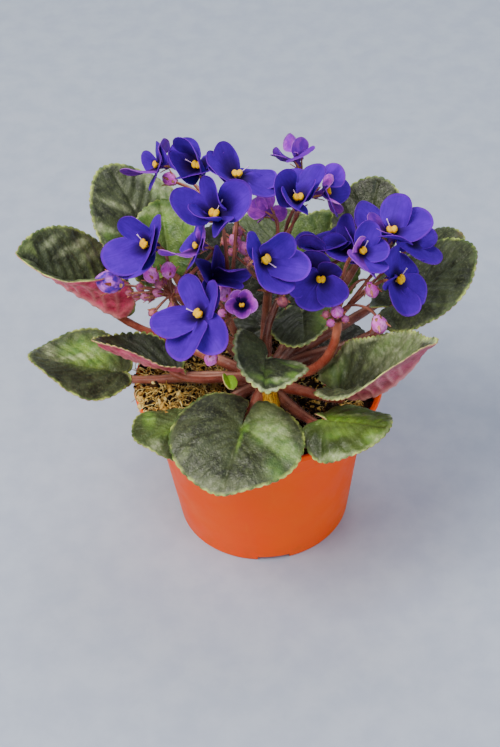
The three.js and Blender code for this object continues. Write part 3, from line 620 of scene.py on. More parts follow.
def turningTree():
    tree, given = newTree("turnedWall", {
        "Sides": "Int", "Fillet": "Float", "Notch Width": "Float", "Notch Height": "Float", "Hole Radius": "Float",
        "Material": "Material"})
    line = put(tree, "GeometryNodeMeshToCurve", {"Mesh": given["Geometry"]}).outputs[0]
    rounded = put(tree, "GeometryNodeFilletCurve", {
        "Curve": line, "Radius": given["Fillet"], "Limit Radius": True, "Count": pot["filletSteps"]}, mode="POLY")
    dots = put(tree, "GeometryNodeCurveToPoints", {"Curve": rounded.outputs[0]}, mode="EVALUATED").outputs[0]
    rows = put(tree, "GeometryNodeAttributeDomainSize", {"Geometry": dots},
               component="POINTCLOUD").outputs["Point Count"]
    columns = maths(tree, "ADD", given["Sides"], 1)
    sheet = put(tree, "GeometryNodeMeshGrid", {"Vertices X": columns, "Vertices Y": rows}).outputs[0]
    index = put(tree, "GeometryNodeInputIndex").outputs[0]
    row = maths(tree, "MODULO", index, rows)
    column = maths(tree, "FLOOR", maths(tree, "DIVIDE", index, rows))
    where = put(tree, "GeometryNodeInputPosition").outputs[0]
    sample = put(tree, "GeometryNodeSampleIndex", {"Geometry": dots, "Index": row}, data_type="FLOAT_VECTOR",
                 domain="POINT")
    tree.links.new(where, inUse(sample.inputs))
    xyz = put(tree, "ShaderNodeSeparateXYZ", {0: inUse(sample.outputs)}).outputs
    angle = maths(tree, "MULTIPLY", maths(tree, "DIVIDE", column, given["Sides"]), turnRound)
    spot = put(tree, "ShaderNodeCombineXYZ", {
        0: maths(tree, "MULTIPLY", xyz[0], maths(tree, "COSINE", angle)),
        1: maths(tree, "MULTIPLY", xyz[0], maths(tree, "SINE", angle)),
        2: xyz[2]}).outputs[0]
    turned = put(tree, "GeometryNodeSetPosition", {"Geometry": sheet, "Position": spot}).outputs[0]
    closed = put(tree, "GeometryNodeMergeByDistance", {"Geometry": turned, "Distance": 0.00001}).outputs[0]
    size = put(tree, "ShaderNodeCombineXYZ", {0: (pot["footWidth"] + 4) * mm, 1: given["Notch Width"],
                                              2: maths(tree, "MULTIPLY", given["Notch Height"], 2)}).outputs[0]
    block = put(tree, "GeometryNodeMeshCube", {"Size": size}).outputs[0]
    drill = put(tree, "GeometryNodeMeshCylinder", {"Vertices": pot["holeSides"], "Radius": given["Hole Radius"],
                                                   "Depth": 0.02}).outputs[0]
    notches = ringOfCutters(tree, block, (pot["base"] - pot["footWidth"] / 2) * mm, pot["notchTurn"])
    holes = ringOfCutters(tree, drill, pot["holeRing"] * mm, pot["holeTurn"])
    cut = put(tree, "GeometryNodeMeshBoolean", {"Mesh 1": closed, "Mesh 2": notches}, operation="DIFFERENCE")
    tree.links.new(holes, cut.inputs["Mesh 2"])
    closeTree(tree, cut.outputs[0], given["Material"])
    return tree


def buildPot():
    line = bpy.data.meshes.new("potProfile")
    points = [(r * mm, 0, z * mm) for r, z in potProfile()]
    line.from_pydata(points, [(i, i + 1) for i in range(len(points) - 1)], [])
    mesh = faceOut(runTree(turningTree(), line, "nurseryPot", {
        "Sides": pot["sides"], "Fillet": pot["fillet"] * mm, "Notch Width": pot["notchWidth"] * mm,
        "Notch Height": pot["notchHeight"] * mm, "Hole Radius": pot["holeRadius"] * mm,
        "Material": finishes["pot"]}))
    mesh.shade_smooth()
    mesh.set_sharp_from_angle(angle=math.radians(pot["sharp"]))
    showPiece("nurseryPot", mesh, "pot", "pot_plastic", "pot")


buildPot()
print("pot turned")


# Soil: a lumpy body of peat, with crumbs and fibres scattered on it and beds of bare golden roots.
soil = {
    "top": 80, "lump": 1.2, "leftRise": 6.5, "seed": 5, "rings": 34, "sides": 144, "crumbEdge": 52.5,
    "crumb": {"density": 0.26, "size": 1.15, "tones": (0.0, 0.82)},
    "rootLump": {"density": 0.13, "size": 2.1, "tones": (0.0, 1.0)},
    "fibre": {"density": 0.045, "length": 9, "radius": 0.2, "tone": 0.2},
    "mat": {"density": 0.27, "length": 7, "radius": 0.26, "tone": 0.6},
    "spillTurns": (154, 236, 4), "spillRings": ((50, 85.0), (55, 86.0), (59.5, 85.6)),
}


def soilHeight(x, y):
    rise = soil["leftRise"] * smooth((-x - 22) / 26)
    coarse = waves(x, y, soil["seed"], 7) * soil["lump"]
    return soil["top"] + rise + coarse + waves(x, y, soil["seed"] + 1, 2.6) * soil["lump"] * 0.5


def buildSoil():
    p = pot
    low = p["floorLift"] + p["floorThick"] + 0.4
    step = p["height"] - p["collarDrop"]
    foot = p["base"] - p["wall"] - 1.2
    neck = p["wallTop"] - p["wall"] - 0.9
    rim = p["collarRadius"] - p["wall"] + 0.3
    side = [(0, low), (foot - 2, low), (foot, low + 2), (neck, step - 1), (neck + 1.2, step + 2.9)]
    top = [(rim * (1 - k / soil["rings"]), soil["top"]) for k in range(soil["rings"])] + [(0, soil["top"])]
    points, faces = lathe(side + top, soil["sides"])
    upper = points[:, 2] > step + 4
    x, y = points[:, 0], points[:, 1]
    away = np.hypot(x, y)
    fade = smooth((rim - away) / 2.5 + 0.15)
    points[upper, 2] = (soil["top"] - 1 + (soilHeight(x, y) - soil["top"] + 1) * fade)[upper]
    body, ground, bed = Store(), Store(), Store()
    body.add(points, faces)
    showPiece("peatBody", faceOut(meshOf("peatBody", body)), "soil", "soil", "soil")
    inside = [f for f in faces if all(upper[i] and away[i] < soil["crumbEdge"] for i in f)]
    ground.add(points, inside)
    # a wide bed of roots on the left, a small one on the right, and a strip that spills over the rim
    left = (x < -16) & (y < 14) & (y > -38)
    right = (x > 40) & (y > -34) & (y < -8)
    bed.add(points, [f for f in inside if all(left[i] or right[i] for i in f)])
    turns = np.radians(np.arange(*soil["spillTurns"]))
    n = len(turns)
    strip = [np.stack([r * np.cos(turns), r * np.sin(turns), np.full(n, z)], 1) for r, z in soil["spillRings"]]
    bed.add(np.concatenate(strip), [face[::-1] for face in sheetFaces(len(strip), n)[0]])
    return meshOf("peatTop", ground), meshOf("rootBed", bed)


def toned(tree, copies, low, high):
    # One random tone for each copy, kept through Realize Instances.
    tone = put(tree, "FunctionNodeRandomValue", {"Seed": 8}, data_type="FLOAT")
    for name, value in (("Min", low), ("Max", high)):
        socket = inUse(tone.inputs, name)
        if isinstance(value, float):
            socket.default_value = value
        else:
            tree.links.new(value, socket)
    keep = put(tree, "GeometryNodeStoreNamedAttribute", {"Geometry": copies, "Name": "tone"}, data_type="FLOAT",
               domain="INSTANCE")
    tree.links.new(inUse(tone.outputs), inUse(keep.inputs))
    return keep.outputs[0]


def crumbTree():
    tree, given = newTree("peatCrumbs", {"Density": "Float", "Size": "Float", "Seed": "Int", "Low Tone": "Float",
                                         "High Tone": "Float", "Material": "Material"})
    dots = scattered(tree, given, given["Density"])
    ball = put(tree, "GeometryNodeMeshIcoSphere", {"Radius": 1.0, "Subdivisions": 1}).outputs[0]
    spin = randomVector(tree, (0, 0, 0), (6.28, 6.28, 6.28))
    wide = randomVector(tree, (0.35, 0.3, 0.25), (1.5, 1.1, 0.9), 3)
    copies = copiesOn(tree, dots[0], ball, spin, vectorMaths(tree, "SCALE", wide, given["Size"], "Scale"))
    closeTree(tree, toned(tree, copies, given["Low Tone"], given["High Tone"]), given["Material"])
    return tree


def fibreTree():
    tree, given = newTree("peatFibres", {"Density": "Float", "Length": "Float", "Radius": "Float", "Seed": "Int",
                                         "Tone": "Float", "Material": "Material"})
    dots = scattered(tree, given, given["Density"])
    arc = put(tree, "GeometryNodeCurveQuadraticBezier", {"Resolution": 5, "Start": (-0.5, 0, -0.05),
                                                         "Middle": (0.05, 0.3, 0.2), "End": (0.5, -0.05, -0.05)})
    loop = put(tree, "GeometryNodeCurvePrimitiveCircle", {"Resolution": 3, "Radius": given["Radius"]})
    size = put(tree, "ShaderNodeCombineXYZ", dict.fromkeys(range(3), given["Length"])).outputs[0]
    long = put(tree, "GeometryNodeTransform", {"Geometry": arc.outputs[0], "Scale": size}).outputs[0]
    strand = put(tree, "GeometryNodeCurveToMesh", {"Curve": long, "Profile Curve": loop.outputs[0],
                                                   "Fill Caps": True}).outputs[0]
    spin = randomVector(tree, (-0.35, -0.35, 0), (0.35, 0.35, 6.28))
    wide = randomVector(tree, (0.3, 0.3, 0.3), (1.2, 1.3, 1.3), 4)
    up = put(tree, "GeometryNodeSetPosition", {"Geometry": dots[0], "Offset": (0, 0, 0.0009)}).outputs[0]
    closeTree(tree, toned(tree, copiesOn(tree, up, strand, spin, wide), given["Tone"], 1.0), given["Material"])
    return tree


def scatterSoil():
    ground, bed = buildSoil()
    bits, strands = crumbTree(), fibreTree()
    shared = {"Seed": soil["seed"], "Material": finishes["crumb"]}
    for name, mesh, kind in (("peatCrumbs", ground, "crumb"), ("rootLumps", bed, "rootLump")):
        look = soil[kind]
        made = runTree(bits, mesh, name, {
            **shared, "Density": look["density"] / (mm * mm), "Size": look["size"] * mm,
            "Low Tone": look["tones"][0], "High Tone": look["tones"][1]})
        showPiece(name, made, "crumb", "soil")
    shared["Seed"] += 2
    for name, mesh, kind in (("peatFibres", ground, "fibre"), ("rootMat", bed, "mat")):
        look = soil[kind]
        made = runTree(strands, mesh, name, {
            **shared, "Density": look["density"] / (mm * mm), "Length": look["length"] * mm,
            "Radius": look["radius"] * mm, "Tone": look["tone"]})
        made.shade_smooth()
        showPiece(name, made, "crumb", "soil")


scatterSoil()
print("soil filled")


# Leaves: joint is where the petiole meets the blade; heading runs from +X towards +Y.
# fold, cup, arch and wave bend the flat blade; young is how light green its left and right halves are.
# Painted highlights, green and pale, and patches of painted shade are each x, y, two half sizes, the turn and the
# strength.
leafLook = {
    "open": 0.4, "thick": 0.95, "edgeThick": 0.5, "toothEvery": 3.3, "toothDepth": 0.55,
    "rings": 30, "ribWidth": 1.3, "ribDepth": 0.9, "sideWidth": 1.0, "sideDepth": 0.6, "cell": 3.6, "puff": 0.22,
    "swell": 0.9, "veins": 6, "veinStep": 0.045, "veinBend": 2.6, "tooth": (-0.55, 0.35, 0.6, 0.3),
    "puffGaps": (2.4, 2.0), "swellGaps": (4, 4.2), "uneven": 0.3, "unevenSize": 11, "ribUnder": 0.9,
    "sideUnder": 0.4, "rimStart": 0.955, "hairStart": 0.9,
}
leaves = {
    "a": dict(joint=(-64, 14.5, 114.5), heading=175, pitch=37.5, roll=-42, length=57.5, width=61, back=3,
              rightBack=6, fold=(111, -16), cup=(22, -17), arch=17.5, mauve=0.0, wave=1.2, droop=30, far=0.35,
              warm=(0.1, 0.75), relief=0.8, frost=((46, -15, 6, 1.8, 60, 0.4), (38, -14, 6, 1.8, 60, 0.45),
              (32, -22, 7, 2, 60, 0.45), (25, -20, 7, 2.2, 60, 0.4), (20, -26, 5, 2, 60, 0.3)),
              dim=((30, -15, 30, 20, 0, 0.2),)),
    "b": dict(joint=(-44, 30, 133), heading=118, pitch=42, roll=14, length=52, width=51, back=12, fold=(2, 5),
              cup=(5, 8), arch=-16, wave=1.2, relief=0.7, glow=((26, -20, 14, 5, 20, 0.6),
              (20, 20, 4, 3, 0, 0.6)), frost=((34, 10, 8, 1.8, 50, 0.4), (24, 22, 7, 2, 60, 0.45),
              (33, -19, 13, 4.5, 20, 0.45), (20, -22, 8, 6, 0, 0.35))),
    "c": dict(joint=(-39, 25, 137), heading=100, pitch=55, roll=-8, length=28, width=34, back=8, fold=(8, 20),
              cup=(10, 16), arch=-9, relief=0.25, young=(0.8, 0.9), frost=((25, 6, 2, 8, 0, 0.4),),
              dim=((11, 7, 13, 9, 20, 0.62), (6, -7, 12, 7, 0, 0.5))),
    "d": dict(joint=(-64.5, 0, 92), heading=179, pitch=14, roll=39, length=43, width=48, back=5, fold=(-42, 40),
              cup=(6, 20), arch=3, wave=1.2, warm=(0.0, 0.35), relief=0.6, glow=((18, -9, 13, 10, 0, 1.0),),
              dim=((28, 12, 18, 7, 0, 0.5),), frost=((36, -8, 3, 9, 20, 0.35), (22, -6, 9, 2.5, 20, 0.5),
              (10, -12, 6, 2, 0, 0.4))),
    "e": dict(joint=(-38, -10.5, 101.5), heading=182, pitch=20, roll=27, length=40, width=35, back=4.5,
              fold=(-3, 22), cup=(40, 24), arch=14, wave=1.3, frill=2.2, far=0.35, warm=(0.1, 0.4), relief=0.5,
              mauve=0.25, dim=((18, 0, 50, 40, 0, 0.88),)),
    "f": dict(joint=(4.5, -20.5, 114.5), heading=-95, pitch=39, roll=3, length=35, width=37.5, back=4.5,
              rightBack=12, fold=(-21, 71), cup=(18, -36), arch=-44, wave=0.8, relief=0.6,
              glow=((12, 14, 9, 4, 60, 0.7), (26, 12, 4, 3, 0, 0.8), (23, 0, 3, 3, 0, 0.4),
              (30, 2, 2, 9, 0, 0.7)), frost=((8, 15, 6, 2, 60, 0.4), (29, 7, 2, 4, 0, 0.5)),
              dim=((8, 3, 9, 6, 0, 0.35),), rimFrost=0.75, frill=2.0),
    "g": dict(joint=(-9, -48, 98), heading=-109, pitch=-4, roll=9, length=34.5, width=62, back=19, fold=(-5, 23),
              cup=(-11, -23), arch=-21, droop=30, sinus=174, notch=0.12, relief=0.45, warm=(0.3, 0.9),
              glow=((0, 13, 9, 8, 30, 1.0), (8, 22, 10, 5, 50, 0.8), (22, 22, 9, 4, 30, 0.5), (1, 2, 3, 2.5, 0, 1.0),
              (8, 1.5, 7, 0.9, 3, 0.9)), frost=((33, -2, 4, 24, 0, 0.15), (-2, 14, 10, 8, 30, 0.45),
              (8, 25, 9, 3, 50, 0.25)), dim=((12, -8, 12, 10, 20, 0.2),)),
    "h": dict(joint=(-37, -36.5, 90.5), heading=-146, pitch=10, roll=-5, length=23, width=35, back=8.5,
              fold=(-7, -4), cup=(-10, -19), arch=-5, far=0.35, relief=0.6, glow=((11, -10, 9, 3, 60, 0.7),
              (6, 1, 11, 4, 0, 0.4)), lime=0.06, frost=((18, 8, 3, 5, 0, 0.6),), dim=((10, 11, 11, 6, 0, 0.6),
              (17, -6, 5, 8, 0, 0.4))),
    "i": dict(joint=(30, -48.5, 100), heading=-25, pitch=14, roll=-18, length=28.5, width=46, back=12,
              fold=(-5, -11), cup=(-6, -49), arch=-8, wave=1.3, lift=5, relief=0.7, lime=0.12, young=(0.2, 0.0),
              glow=((9, 4, 16, 7, 10, 0.9), (25, -7, 5, 5, 0, 0.7), (8, -9, 8, 3, 20, 0.5)),
              frost=((9, 8, 10, 2, 10, 0.3), (13, -21, 12, 2, 0, 0.7), (26, -7, 3, 2, 0, 0.6)),
              dim=((-4, -16, 10, 9, 0, 0.85), (10, -15, 10, 3, 20, 0.6), (3, 12, 5, 3, 60, 0.5)), rimFrost=0.25),
    "j": dict(joint=(36.5, -29, 97), heading=-48, pitch=24, roll=-9.5, length=66, width=56, back=21, rightBack=4.5,
              tip=(0.2, 0.12), straight=45, sinus=170, notch=0.2, fold=(45, 42), cup=(41, -50), arch=51, wave=1.2,
              warm=(0.5, 0.8), mauve=0.7, relief=0.6, glow=((34, 22, 16, 4, 10, 0.35), (52, 14, 10, 6, 0, 0.25),
              (-6, 12, 6, 8, 0, 0.5)), frost=((-6, 16, 4, 6, 0, 0.5), (3, 22, 8, 2, 20, 0.4),
              (42, 16, 26, 12, 0, 0.28)), dim=((16, 8, 18, 9, 0, 0.6),), rimFrost=0.5, frill=1.8),
    "k": dict(joint=(62, 5, 120), heading=7, pitch=29, roll=-6, length=46, width=56, back=10, fold=(-4, 13),
              cup=(11, -29), arch=7, wave=1.2, relief=0.4, stem=1.3, droop=50, far=0.4),
    "l": dict(joint=(72, 27, 121), heading=10, pitch=42, roll=-5, length=32, width=44, back=10, fold=(-11, -5),
              cup=(-1, 4), droop=25, relief=0.5, dry=(37, 2, 4.5)),
    "m": dict(joint=(53, 28, 143), heading=68, pitch=50, roll=-7, length=28, width=37, back=10, fold=(0, 8),
              cup=(3, 5), arch=-11, relief=0.45, dim=((14, 0, 40, 40, 0, 0.4),)),
    "o": dict(joint=(22, 9, 117), heading=-92, pitch=11, roll=10, length=26, width=32, back=6, fold=(11, -2),
              cup=(0, 0), arch=-16, glow=((14, 11, 14, 6, 0, 0.4),), dim=((10, -7, 18, 11, 0, 0.85),),
              rimFrost=0.35, frill=1.5),
    "p": dict(joint=(-14.5, -14, 98), heading=-78, pitch=15, roll=-25, length=10, width=7.5, back=2, fold=(15, 15),
              cup=(5, 5), arch=-20, wave=0.2, young=(1.0, 1.0), lime=0.85, stem=0.45),
    "q": dict(joint=(9, 59, 108), heading=76, pitch=15, length=38, width=46, back=12, young=(0.1, 0.1)),
    "r": dict(joint=(30, 34, 113), heading=62, pitch=61, length=34, width=46, back=12, far=0.35, relief=0.5,
              young=(0.45, 0.45)),
    # t, u and s are filler leaves, painted almost wholly in shade and without the rim highlight.
    "t": dict(joint=(-13, 38, 101), heading=92, pitch=45, length=38, width=44, back=10, arch=-16, relief=0.5,
              dim=((15, 0, 50, 50, 0, 0.95),), rim=0, stem=0.8),
    "u": dict(joint=(29, 9, 88), heading=36, pitch=8, length=27, width=27, back=6, arch=-12,
              dim=((12, 0, 40, 40, 0, 0.95),), rim=0, stem=0.8),
    "s": dict(joint=(6, 22, 97), heading=88, pitch=12, length=34, width=50, back=10,
              dim=((15, 0, 40, 40, 0, 0.95),), rim=0, stem=0.8),
}
# What a leaf's own line leaves out. lift, droop, near, far and stem shape its petiole.
usualLeaf = dict(
    roll=0, wave=1.0, fold=(8, 8), cup=(6, 6), arch=-18, sinus=158, notch=0.42, tip=(0.06, 0.28), frill=1.0,
    relief=1.0, warm=(0.0, 0.25), mauve=0.4, lime=0.0, young=(0.0, 0.0), rim=1.0, rimFrost=0.0, dry=(0, 0, 0.01),
    glow=(), frost=(), dim=(), lift=35, droop=15, near=0.3, far=0.2, stem=1)
leaves = {key: {**usualLeaf, **leaf} for key, leaf in leaves.items()}
loneLeaves = "pstu"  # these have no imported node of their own


def leafFrame(leaf):
    a, p, r = (math.radians(leaf[key]) for key in ("heading", "pitch", "roll"))
    axis = heading(a, p)
    flat = vec(-math.sin(a), math.cos(a), 0)
    up = np.cross(axis, flat)
    left = flat * math.cos(r) + up * math.sin(r)
    normal = up * math.cos(r) - flat * math.sin(r)
    return axis, left, normal, vec(*leaf["joint"])


def leafRadius(leaf, theta):
    # An ellipse about the joint with a drawn-out tip and a notch at the back, whose lobes may be uneven.
    back = np.where(theta >= 0, leaf["back"], leaf.get("rightBack", leaf["back"]))
    a = (leaf["length"] + back) / 2
    c = (leaf["length"] - back) / 2
    b = leaf["width"] / 2
    ct, st = np.cos(theta), np.sin(theta)
    qa = (ct / a) ** 2 + (st / b) ** 2
    qb = -2 * ct * c / a ** 2
    qc = (c / a) ** 2 - 1
    r = (-qb + np.sqrt(qb * qb - 4 * qa * qc)) / (2 * qa)
    longer, narrow = leaf["tip"]
    lobe = np.maximum(0, (np.abs(theta) - (math.radians(leaf["sinus"]) - 0.42)) / 0.42)
    return r * (1 + longer * bell(theta / narrow)) * (1 - leaf["notch"] * lobe * lobe)


def bentLeaf(leaf, x, y):
    axis, left, normal, joint = leafFrame(leaf)
    side = y >= 0
    fold = np.radians(np.where(side, *leaf["fold"])) * (1 - leafLook["open"] * smooth(x / leaf["length"]))
    cup = np.radians(np.where(side, *leaf["cup"]) + 0.01) / (leaf["width"] / 2)
    s = np.abs(y)
    across = (np.sin(fold + cup * s) - np.sin(fold)) / cup
    up = (np.cos(fold) - np.cos(fold + cup * s)) / cup
    theta = np.arctan2(y, x)
    ring = np.minimum(1.05, np.hypot(x, y) / leafRadius(leaf, theta))
    # past "straight" the midrib stops bending
    bent = np.minimum(x, leaf.get("straight", leaf["length"] * 2))
    beyond = x - bent
    k = math.radians(leaf["arch"]) / leaf["length"]
    sine, cosine = np.sin(k * bent), np.cos(k * bent)
    along = sine / k + beyond * cosine - up * sine
    lift = (1 - cosine) / k + beyond * sine + up * cosine + leaf["wave"] * np.sin(5 * theta) * ring * ring
    return (joint + along[:, None] * axis + np.where(side, across, -across)[:, None] * left
            + lift[:, None] * normal)


def leafOutline(leaf, count):
    sinus = math.radians(leaf["sinus"])
    theta = np.linspace(-sinus, sinus, 500)
    r = leafRadius(leaf, theta)
    joint = np.zeros((1, 2))
    line = np.concatenate([joint, np.stack([r * np.cos(theta), r * np.sin(theta)], 1), joint])
    line = resample(line, count)[:-1]
    for _ in range(2):
        line = (np.roll(line, 1, 0) + 2 * line + np.roll(line, -1, 0)) / 4
    return line


def leafVeins(leaf, rng):
    # Midrib, basal veins into the lobes, and pairs that leave the midrib and bend to the tip.
    look = leafLook
    lines = [np.array([[0, 0], [leaf["length"] * 0.96, 0]])]
    shares = [0.14 + 0.72 * k / look["veins"] for k in range(look["veins"])]
    starts = [(0.0, 128), (0.0, 92), (0.02, 66)] + [(share, 58 - 14 * share) for share in shares]
    for side in (-1, 1):
        for share, angle in starts:
            turn = math.radians(angle + rng.uniform(-4, 4))
            spot = vec(leaf["length"] * max(0, share + rng.uniform(-0.02, 0.02)), 0)
            line = [spot]
            for _ in range(14):
                spot = spot + leaf["width"] * look["veinStep"] * vec(math.cos(turn), side * math.sin(turn))
                turn -= math.radians(look["veinBend"])
                if np.hypot(*spot) > 0.94 * leafRadius(leaf, np.arctan2(spot[1], spot[0])):
                    break
                line.append(spot)
            if len(line) > 1:
                lines.append(np.array(line))
    return lines


def distanceTo(points, lines):
    a = np.concatenate([line[:-1] for line in lines])
    b = np.concatenate([line[1:] for line in lines])
    d = b - a
    t = np.einsum("nsk,sk->ns", points[:, None] - a[None], d) / (d * d).sum(1)[None]
    near = a[None] + np.clip(t, 0, 1)[..., None] * d[None]
    return np.linalg.norm(points[:, None] - near, axis=2).min(1)


def cellEdges(points, size, rng):
    # How far each point is from the border between two cells of a loose grid.
    low, high = points.min(0) - size, points.max(0) + size
    gx, gy = np.meshgrid(np.arange(low[0], high[0], size), np.arange(low[1], high[1], size))
    seeds = np.stack([gx.ravel(), gy.ravel()], 1)
    seeds += rng.uniform(-0.38, 0.38, seeds.shape) * size
    away = np.linalg.norm(points[:, None] - seeds[None], axis=2)
    away.partition(1, axis=1)
    return away[:, 1] - away[:, 0]


def patches(leaf, kind, x, y, seed):
    # How strong the leaf's patches of one kind are at each point.
    strength = np.zeros_like(x)
    for gx, gy, longer, shorter, turn, power in leaf[kind]:
        a, b = math.cos(math.radians(turn)), math.sin(math.radians(turn))
        gone = (((x - gx) * a + (y - gy) * b) ** 2 / longer ** 2
                + ((y - gy) * a - (x - gx) * b) ** 2 / shorter ** 2)
        strength = np.maximum(strength, power * bell(gone, 1.5) * (0.85 + 0.15 * waves(x, y, seed, 5)))
    return np.clip(strength, 0, 1)


def leafRings(leaf, rng):
    # The flat blade: toothed rings about its middle, with fewer points in the inner ones.
    look = leafLook
    girth = math.pi * (leaf["width"] + leaf["length"] + leaf["back"]) / 2
    teeth = max(12, int(round(girth / look["toothEvery"] / 2)) * 2)
    full = teeth * len(look["tooth"])
    outline = leafOutline(leaf, full)
    centre = vec((leaf["length"] - leaf["back"]) / 2, 0)
    tangent = np.roll(outline, -1, 0) - np.roll(outline, 1, 0)
    outward = np.stack([tangent[:, 1], -tangent[:, 0]], 1)
    outward /= np.linalg.norm(outward, axis=1)[:, None]
    bite = np.tile(look["tooth"], teeth) * look["toothDepth"] * leaf["frill"] * rng.uniform(0.6, 1.3, full)
    bite *= smooth((np.hypot(*outline.T) - 4) / 8)
    counts, rows, share = [], [centre[None]], [np.zeros(1)]
    for k in range(1, look["rings"] + 1):
        s = (k / look["rings"]) ** 0.92
        skip = 4 if s < 0.26 else 2 if s < 0.6 else 1
        edge = outline + outward * (bite * s ** 14)[:, None]
        rows.append(centre + (edge[::skip] - centre) * s)
        counts.append(full // skip)
        share.append(np.full(full // skip, s))
    faces, last = discFaces(counts)
    return np.concatenate(rows), np.concatenate(share), faces, list(range(last, last + full))


def buildLeaf(key):
    leaf, look, seed = leaves[key], leafLook, ord(key)
    rng = np.random.default_rng(100 + seed)
    flat, share, faces, border = leafRings(leaf, rng)
    x, y = flat.T
    lines = leafVeins(leaf, rng)
    rib = distanceTo(flat, lines[:1])
    side = distanceTo(flat, lines[1:])
    cells = cellEdges(flat * vec(1, 0.85), look["cell"], rng)
    width = look["ribWidth"] * (1.2 - 0.7 * np.clip(x / leaf["length"], 0, 1))
    ribMask = bell(rib / width)
    sideMask = bell(side / look["sideWidth"]) * (1 - 0.5 * share)
    # quilting: small cells between the veins puff up, and the veins sink in
    ribGap, sideGap = look["puffGaps"]
    ribFar, sideFar = look["swellGaps"]
    clear = smooth(rib / ribGap) * smooth(side / sideGap) * smooth((1.02 - share) / 0.12)
    puff = smooth(cells / (0.55 * look["cell"])) * clear
    swell = smooth(side / sideFar) * smooth(rib / ribFar) * smooth((1.02 - share) / 0.15)
    small = min(1.0, leaf["length"] / 25)
    calm = leaf["relief"]
    relief = (look["puff"] * puff + look["swell"] * calm * swell - look["ribDepth"] * ribMask
              - look["sideDepth"] * calm * sideMask)
    uneven = look["uneven"] * small * waves(x, y, 300 + seed, look["unevenSize"])
    relief = relief * small + uneven * smooth(share * 1.5)
    relief *= 1 - 0.5 * smooth((share - 0.9) / 0.1)
    half = (look["edgeThick"] + (look["thick"] - look["edgeThick"]) * (1 - share ** 6)) / 2
    ribUnder = look["ribUnder"] * ribMask * smooth(1.1 - x / leaf["length"]) + look["sideUnder"] * sideMask
    points, shell = closedSheet(bentLeaf(leaf, x, y), faces, border, half + relief, half - relief * 0.8 + ribUnder)
    # tints, among them painted highlights and painted shade
    young = np.where(y >= 0, *leaf["young"]) * (0.8 + 0.2 * waves(x, y, 400 + seed, 14))
    # Green highlight patches are painted in with the young tint.
    young = np.clip(np.maximum(young, patches(leaf, "glow", x, y, 500 + seed)), 0, 1) * (1 - 0.3 * ribMask)
    # Pale painted highlights, in patches and along the rim.
    frost = np.maximum(patches(leaf, "frost", x, y, 520 + seed), leaf["rimFrost"] * smooth((share - 0.9) / 0.06))
    dryX, dryY, dryR = leaf["dry"]
    net = bell(cells / 0.9) * 0.3 * (1 - share * 0.5)
    vein = np.clip(np.maximum(ribMask, np.maximum(sideMask * 0.8, net)), 0, 1)
    # the swellings between the side veins, which get a painted highlight
    ridge = smooth((side - 1.6) / 2.2) * smooth(rib / 5) * smooth((1.0 - share) / 0.1)
    # The edge tint carries the top's painted rim highlight and the underside's pale margin.
    tints = {
        "vein": vein * (0.4 + 0.6 * calm), "edge": 0.9 * leaf["rim"] * smooth((share - look["rimStart"]) / 0.04),
        "ridge": ridge * calm, "frost": frost, "dim": patches(leaf, "dim", x, y, 540 + seed), "young": young,
        "dry": bell(np.hypot(x - dryX, y - dryY) / dryR, 4),
        "hairy": 0.25 + 0.75 * smooth((share - look["hairStart"]) / 0.1),
    }
    store = Store()
    store.add(points, shell, flat=twice(flat), lime=leaf["lime"], mauve=leaf["mauve"],
              under=np.repeat((0.0, 1.0), len(flat)), **{name: twice(tint) for name, tint in tints.items()})
    name = "leafBlade" + key.upper()
    return showPiece(name, meshOf(name, store), "leaf", "leaf", *([] if key in loneLeaves else ["leaf_" + key]))


leafPieces = {key: buildLeaf(key) for key in leaves}
print("leaves grown")


# Stems: lines with a radius and tints at every point, made tubes in Geometry Nodes.
stems = {"sides": 12, "ripple": 0.9, "grain": 160.0}
crown = {
    "x": 3, "y": -6, "petioleStart": 6, "petioleBase": 2.9, "petioleTip": 1.75,
    "levels": ((118, 91), (100, 88), (0, 85)),  # petioles of higher leaves leave the crown higher up
    "heart": ((67, 6.6), (72, 8.0), (80, 8.6), (88, 8.6), (92, 8.2), (94.5, 7.4), (96.2, 5.2), (97, 2.0)),
    "stubRadius": 5.2, "stubLength": 18, "stubHeight": 86.5, "stubRings": 9, "stubSides": 40,
}


def stemTree():
    tree, given = newTree("stemTube", {"Sides": "Int", "Ripple": "Float", "Material": "Material"})
    line = put(tree, "GeometryNodeMeshToCurve", {"Mesh": given["Geometry"]}).outputs[0]
    radius = inUse(put(tree, "GeometryNodeInputNamedAttribute", {"Name": "radius"}, data_type="FLOAT").outputs,
                   "Attribute")
    sized = put(tree, "GeometryNodeSetCurveRadius", {"Curve": line, "Radius": radius}).outputs[0]
    loop = put(tree, "GeometryNodeCurvePrimitiveCircle", {"Resolution": given["Sides"], "Radius": 1.0})
    tube = put(tree, "GeometryNodeCurveToMesh", {"Curve": sized, "Profile Curve": loop.outputs[0],
                                                 "Fill Caps": True})
    if "Scale" in tube.inputs:
        tree.links.new(radius, tube.inputs["Scale"])
    noise = put(tree, "ShaderNodeTexNoise", {"Scale": stems["grain"], "Detail": 1.0}).outputs[0]
    ripple = maths(tree, "MULTIPLY", maths(tree, "SUBTRACT", noise, 0.5), given["Ripple"])
    outward = put(tree, "GeometryNodeInputNormal").outputs[0]
    rough = put(tree, "GeometryNodeSetPosition", {
        "Geometry": tube.outputs[0], "Offset": vectorMaths(tree, "SCALE", outward, ripple, "Scale")}).outputs[0]
    closeTree(tree, rough, given["Material"])
    return tree


stemTube = stemTree()


class Lines:
    # The stems of one piece, each a run of points with a radius and tints.
    def __init__(self):
        self.points = []
        self.edges = []
        self.values = {"radius": [], "warm": [], "green": [], "along": [], "hairy": []}

    def add(self, points, radii, warm, hairy=1.0):
        start, n = len(self.points), len(points)
        self.points.extend(np.asarray(points).tolist())
        self.edges.extend((start + i, start + i + 1) for i in range(n - 1))
        tints = {"radius": np.asarray(radii) * mm, "warm": warm, "green": 0.0, "along": np.linspace(0, 1, n),
                 "hairy": hairy}
        for key, value in tints.items():
            self.values[key].extend(np.broadcast_to(value, (n,)).tolist())


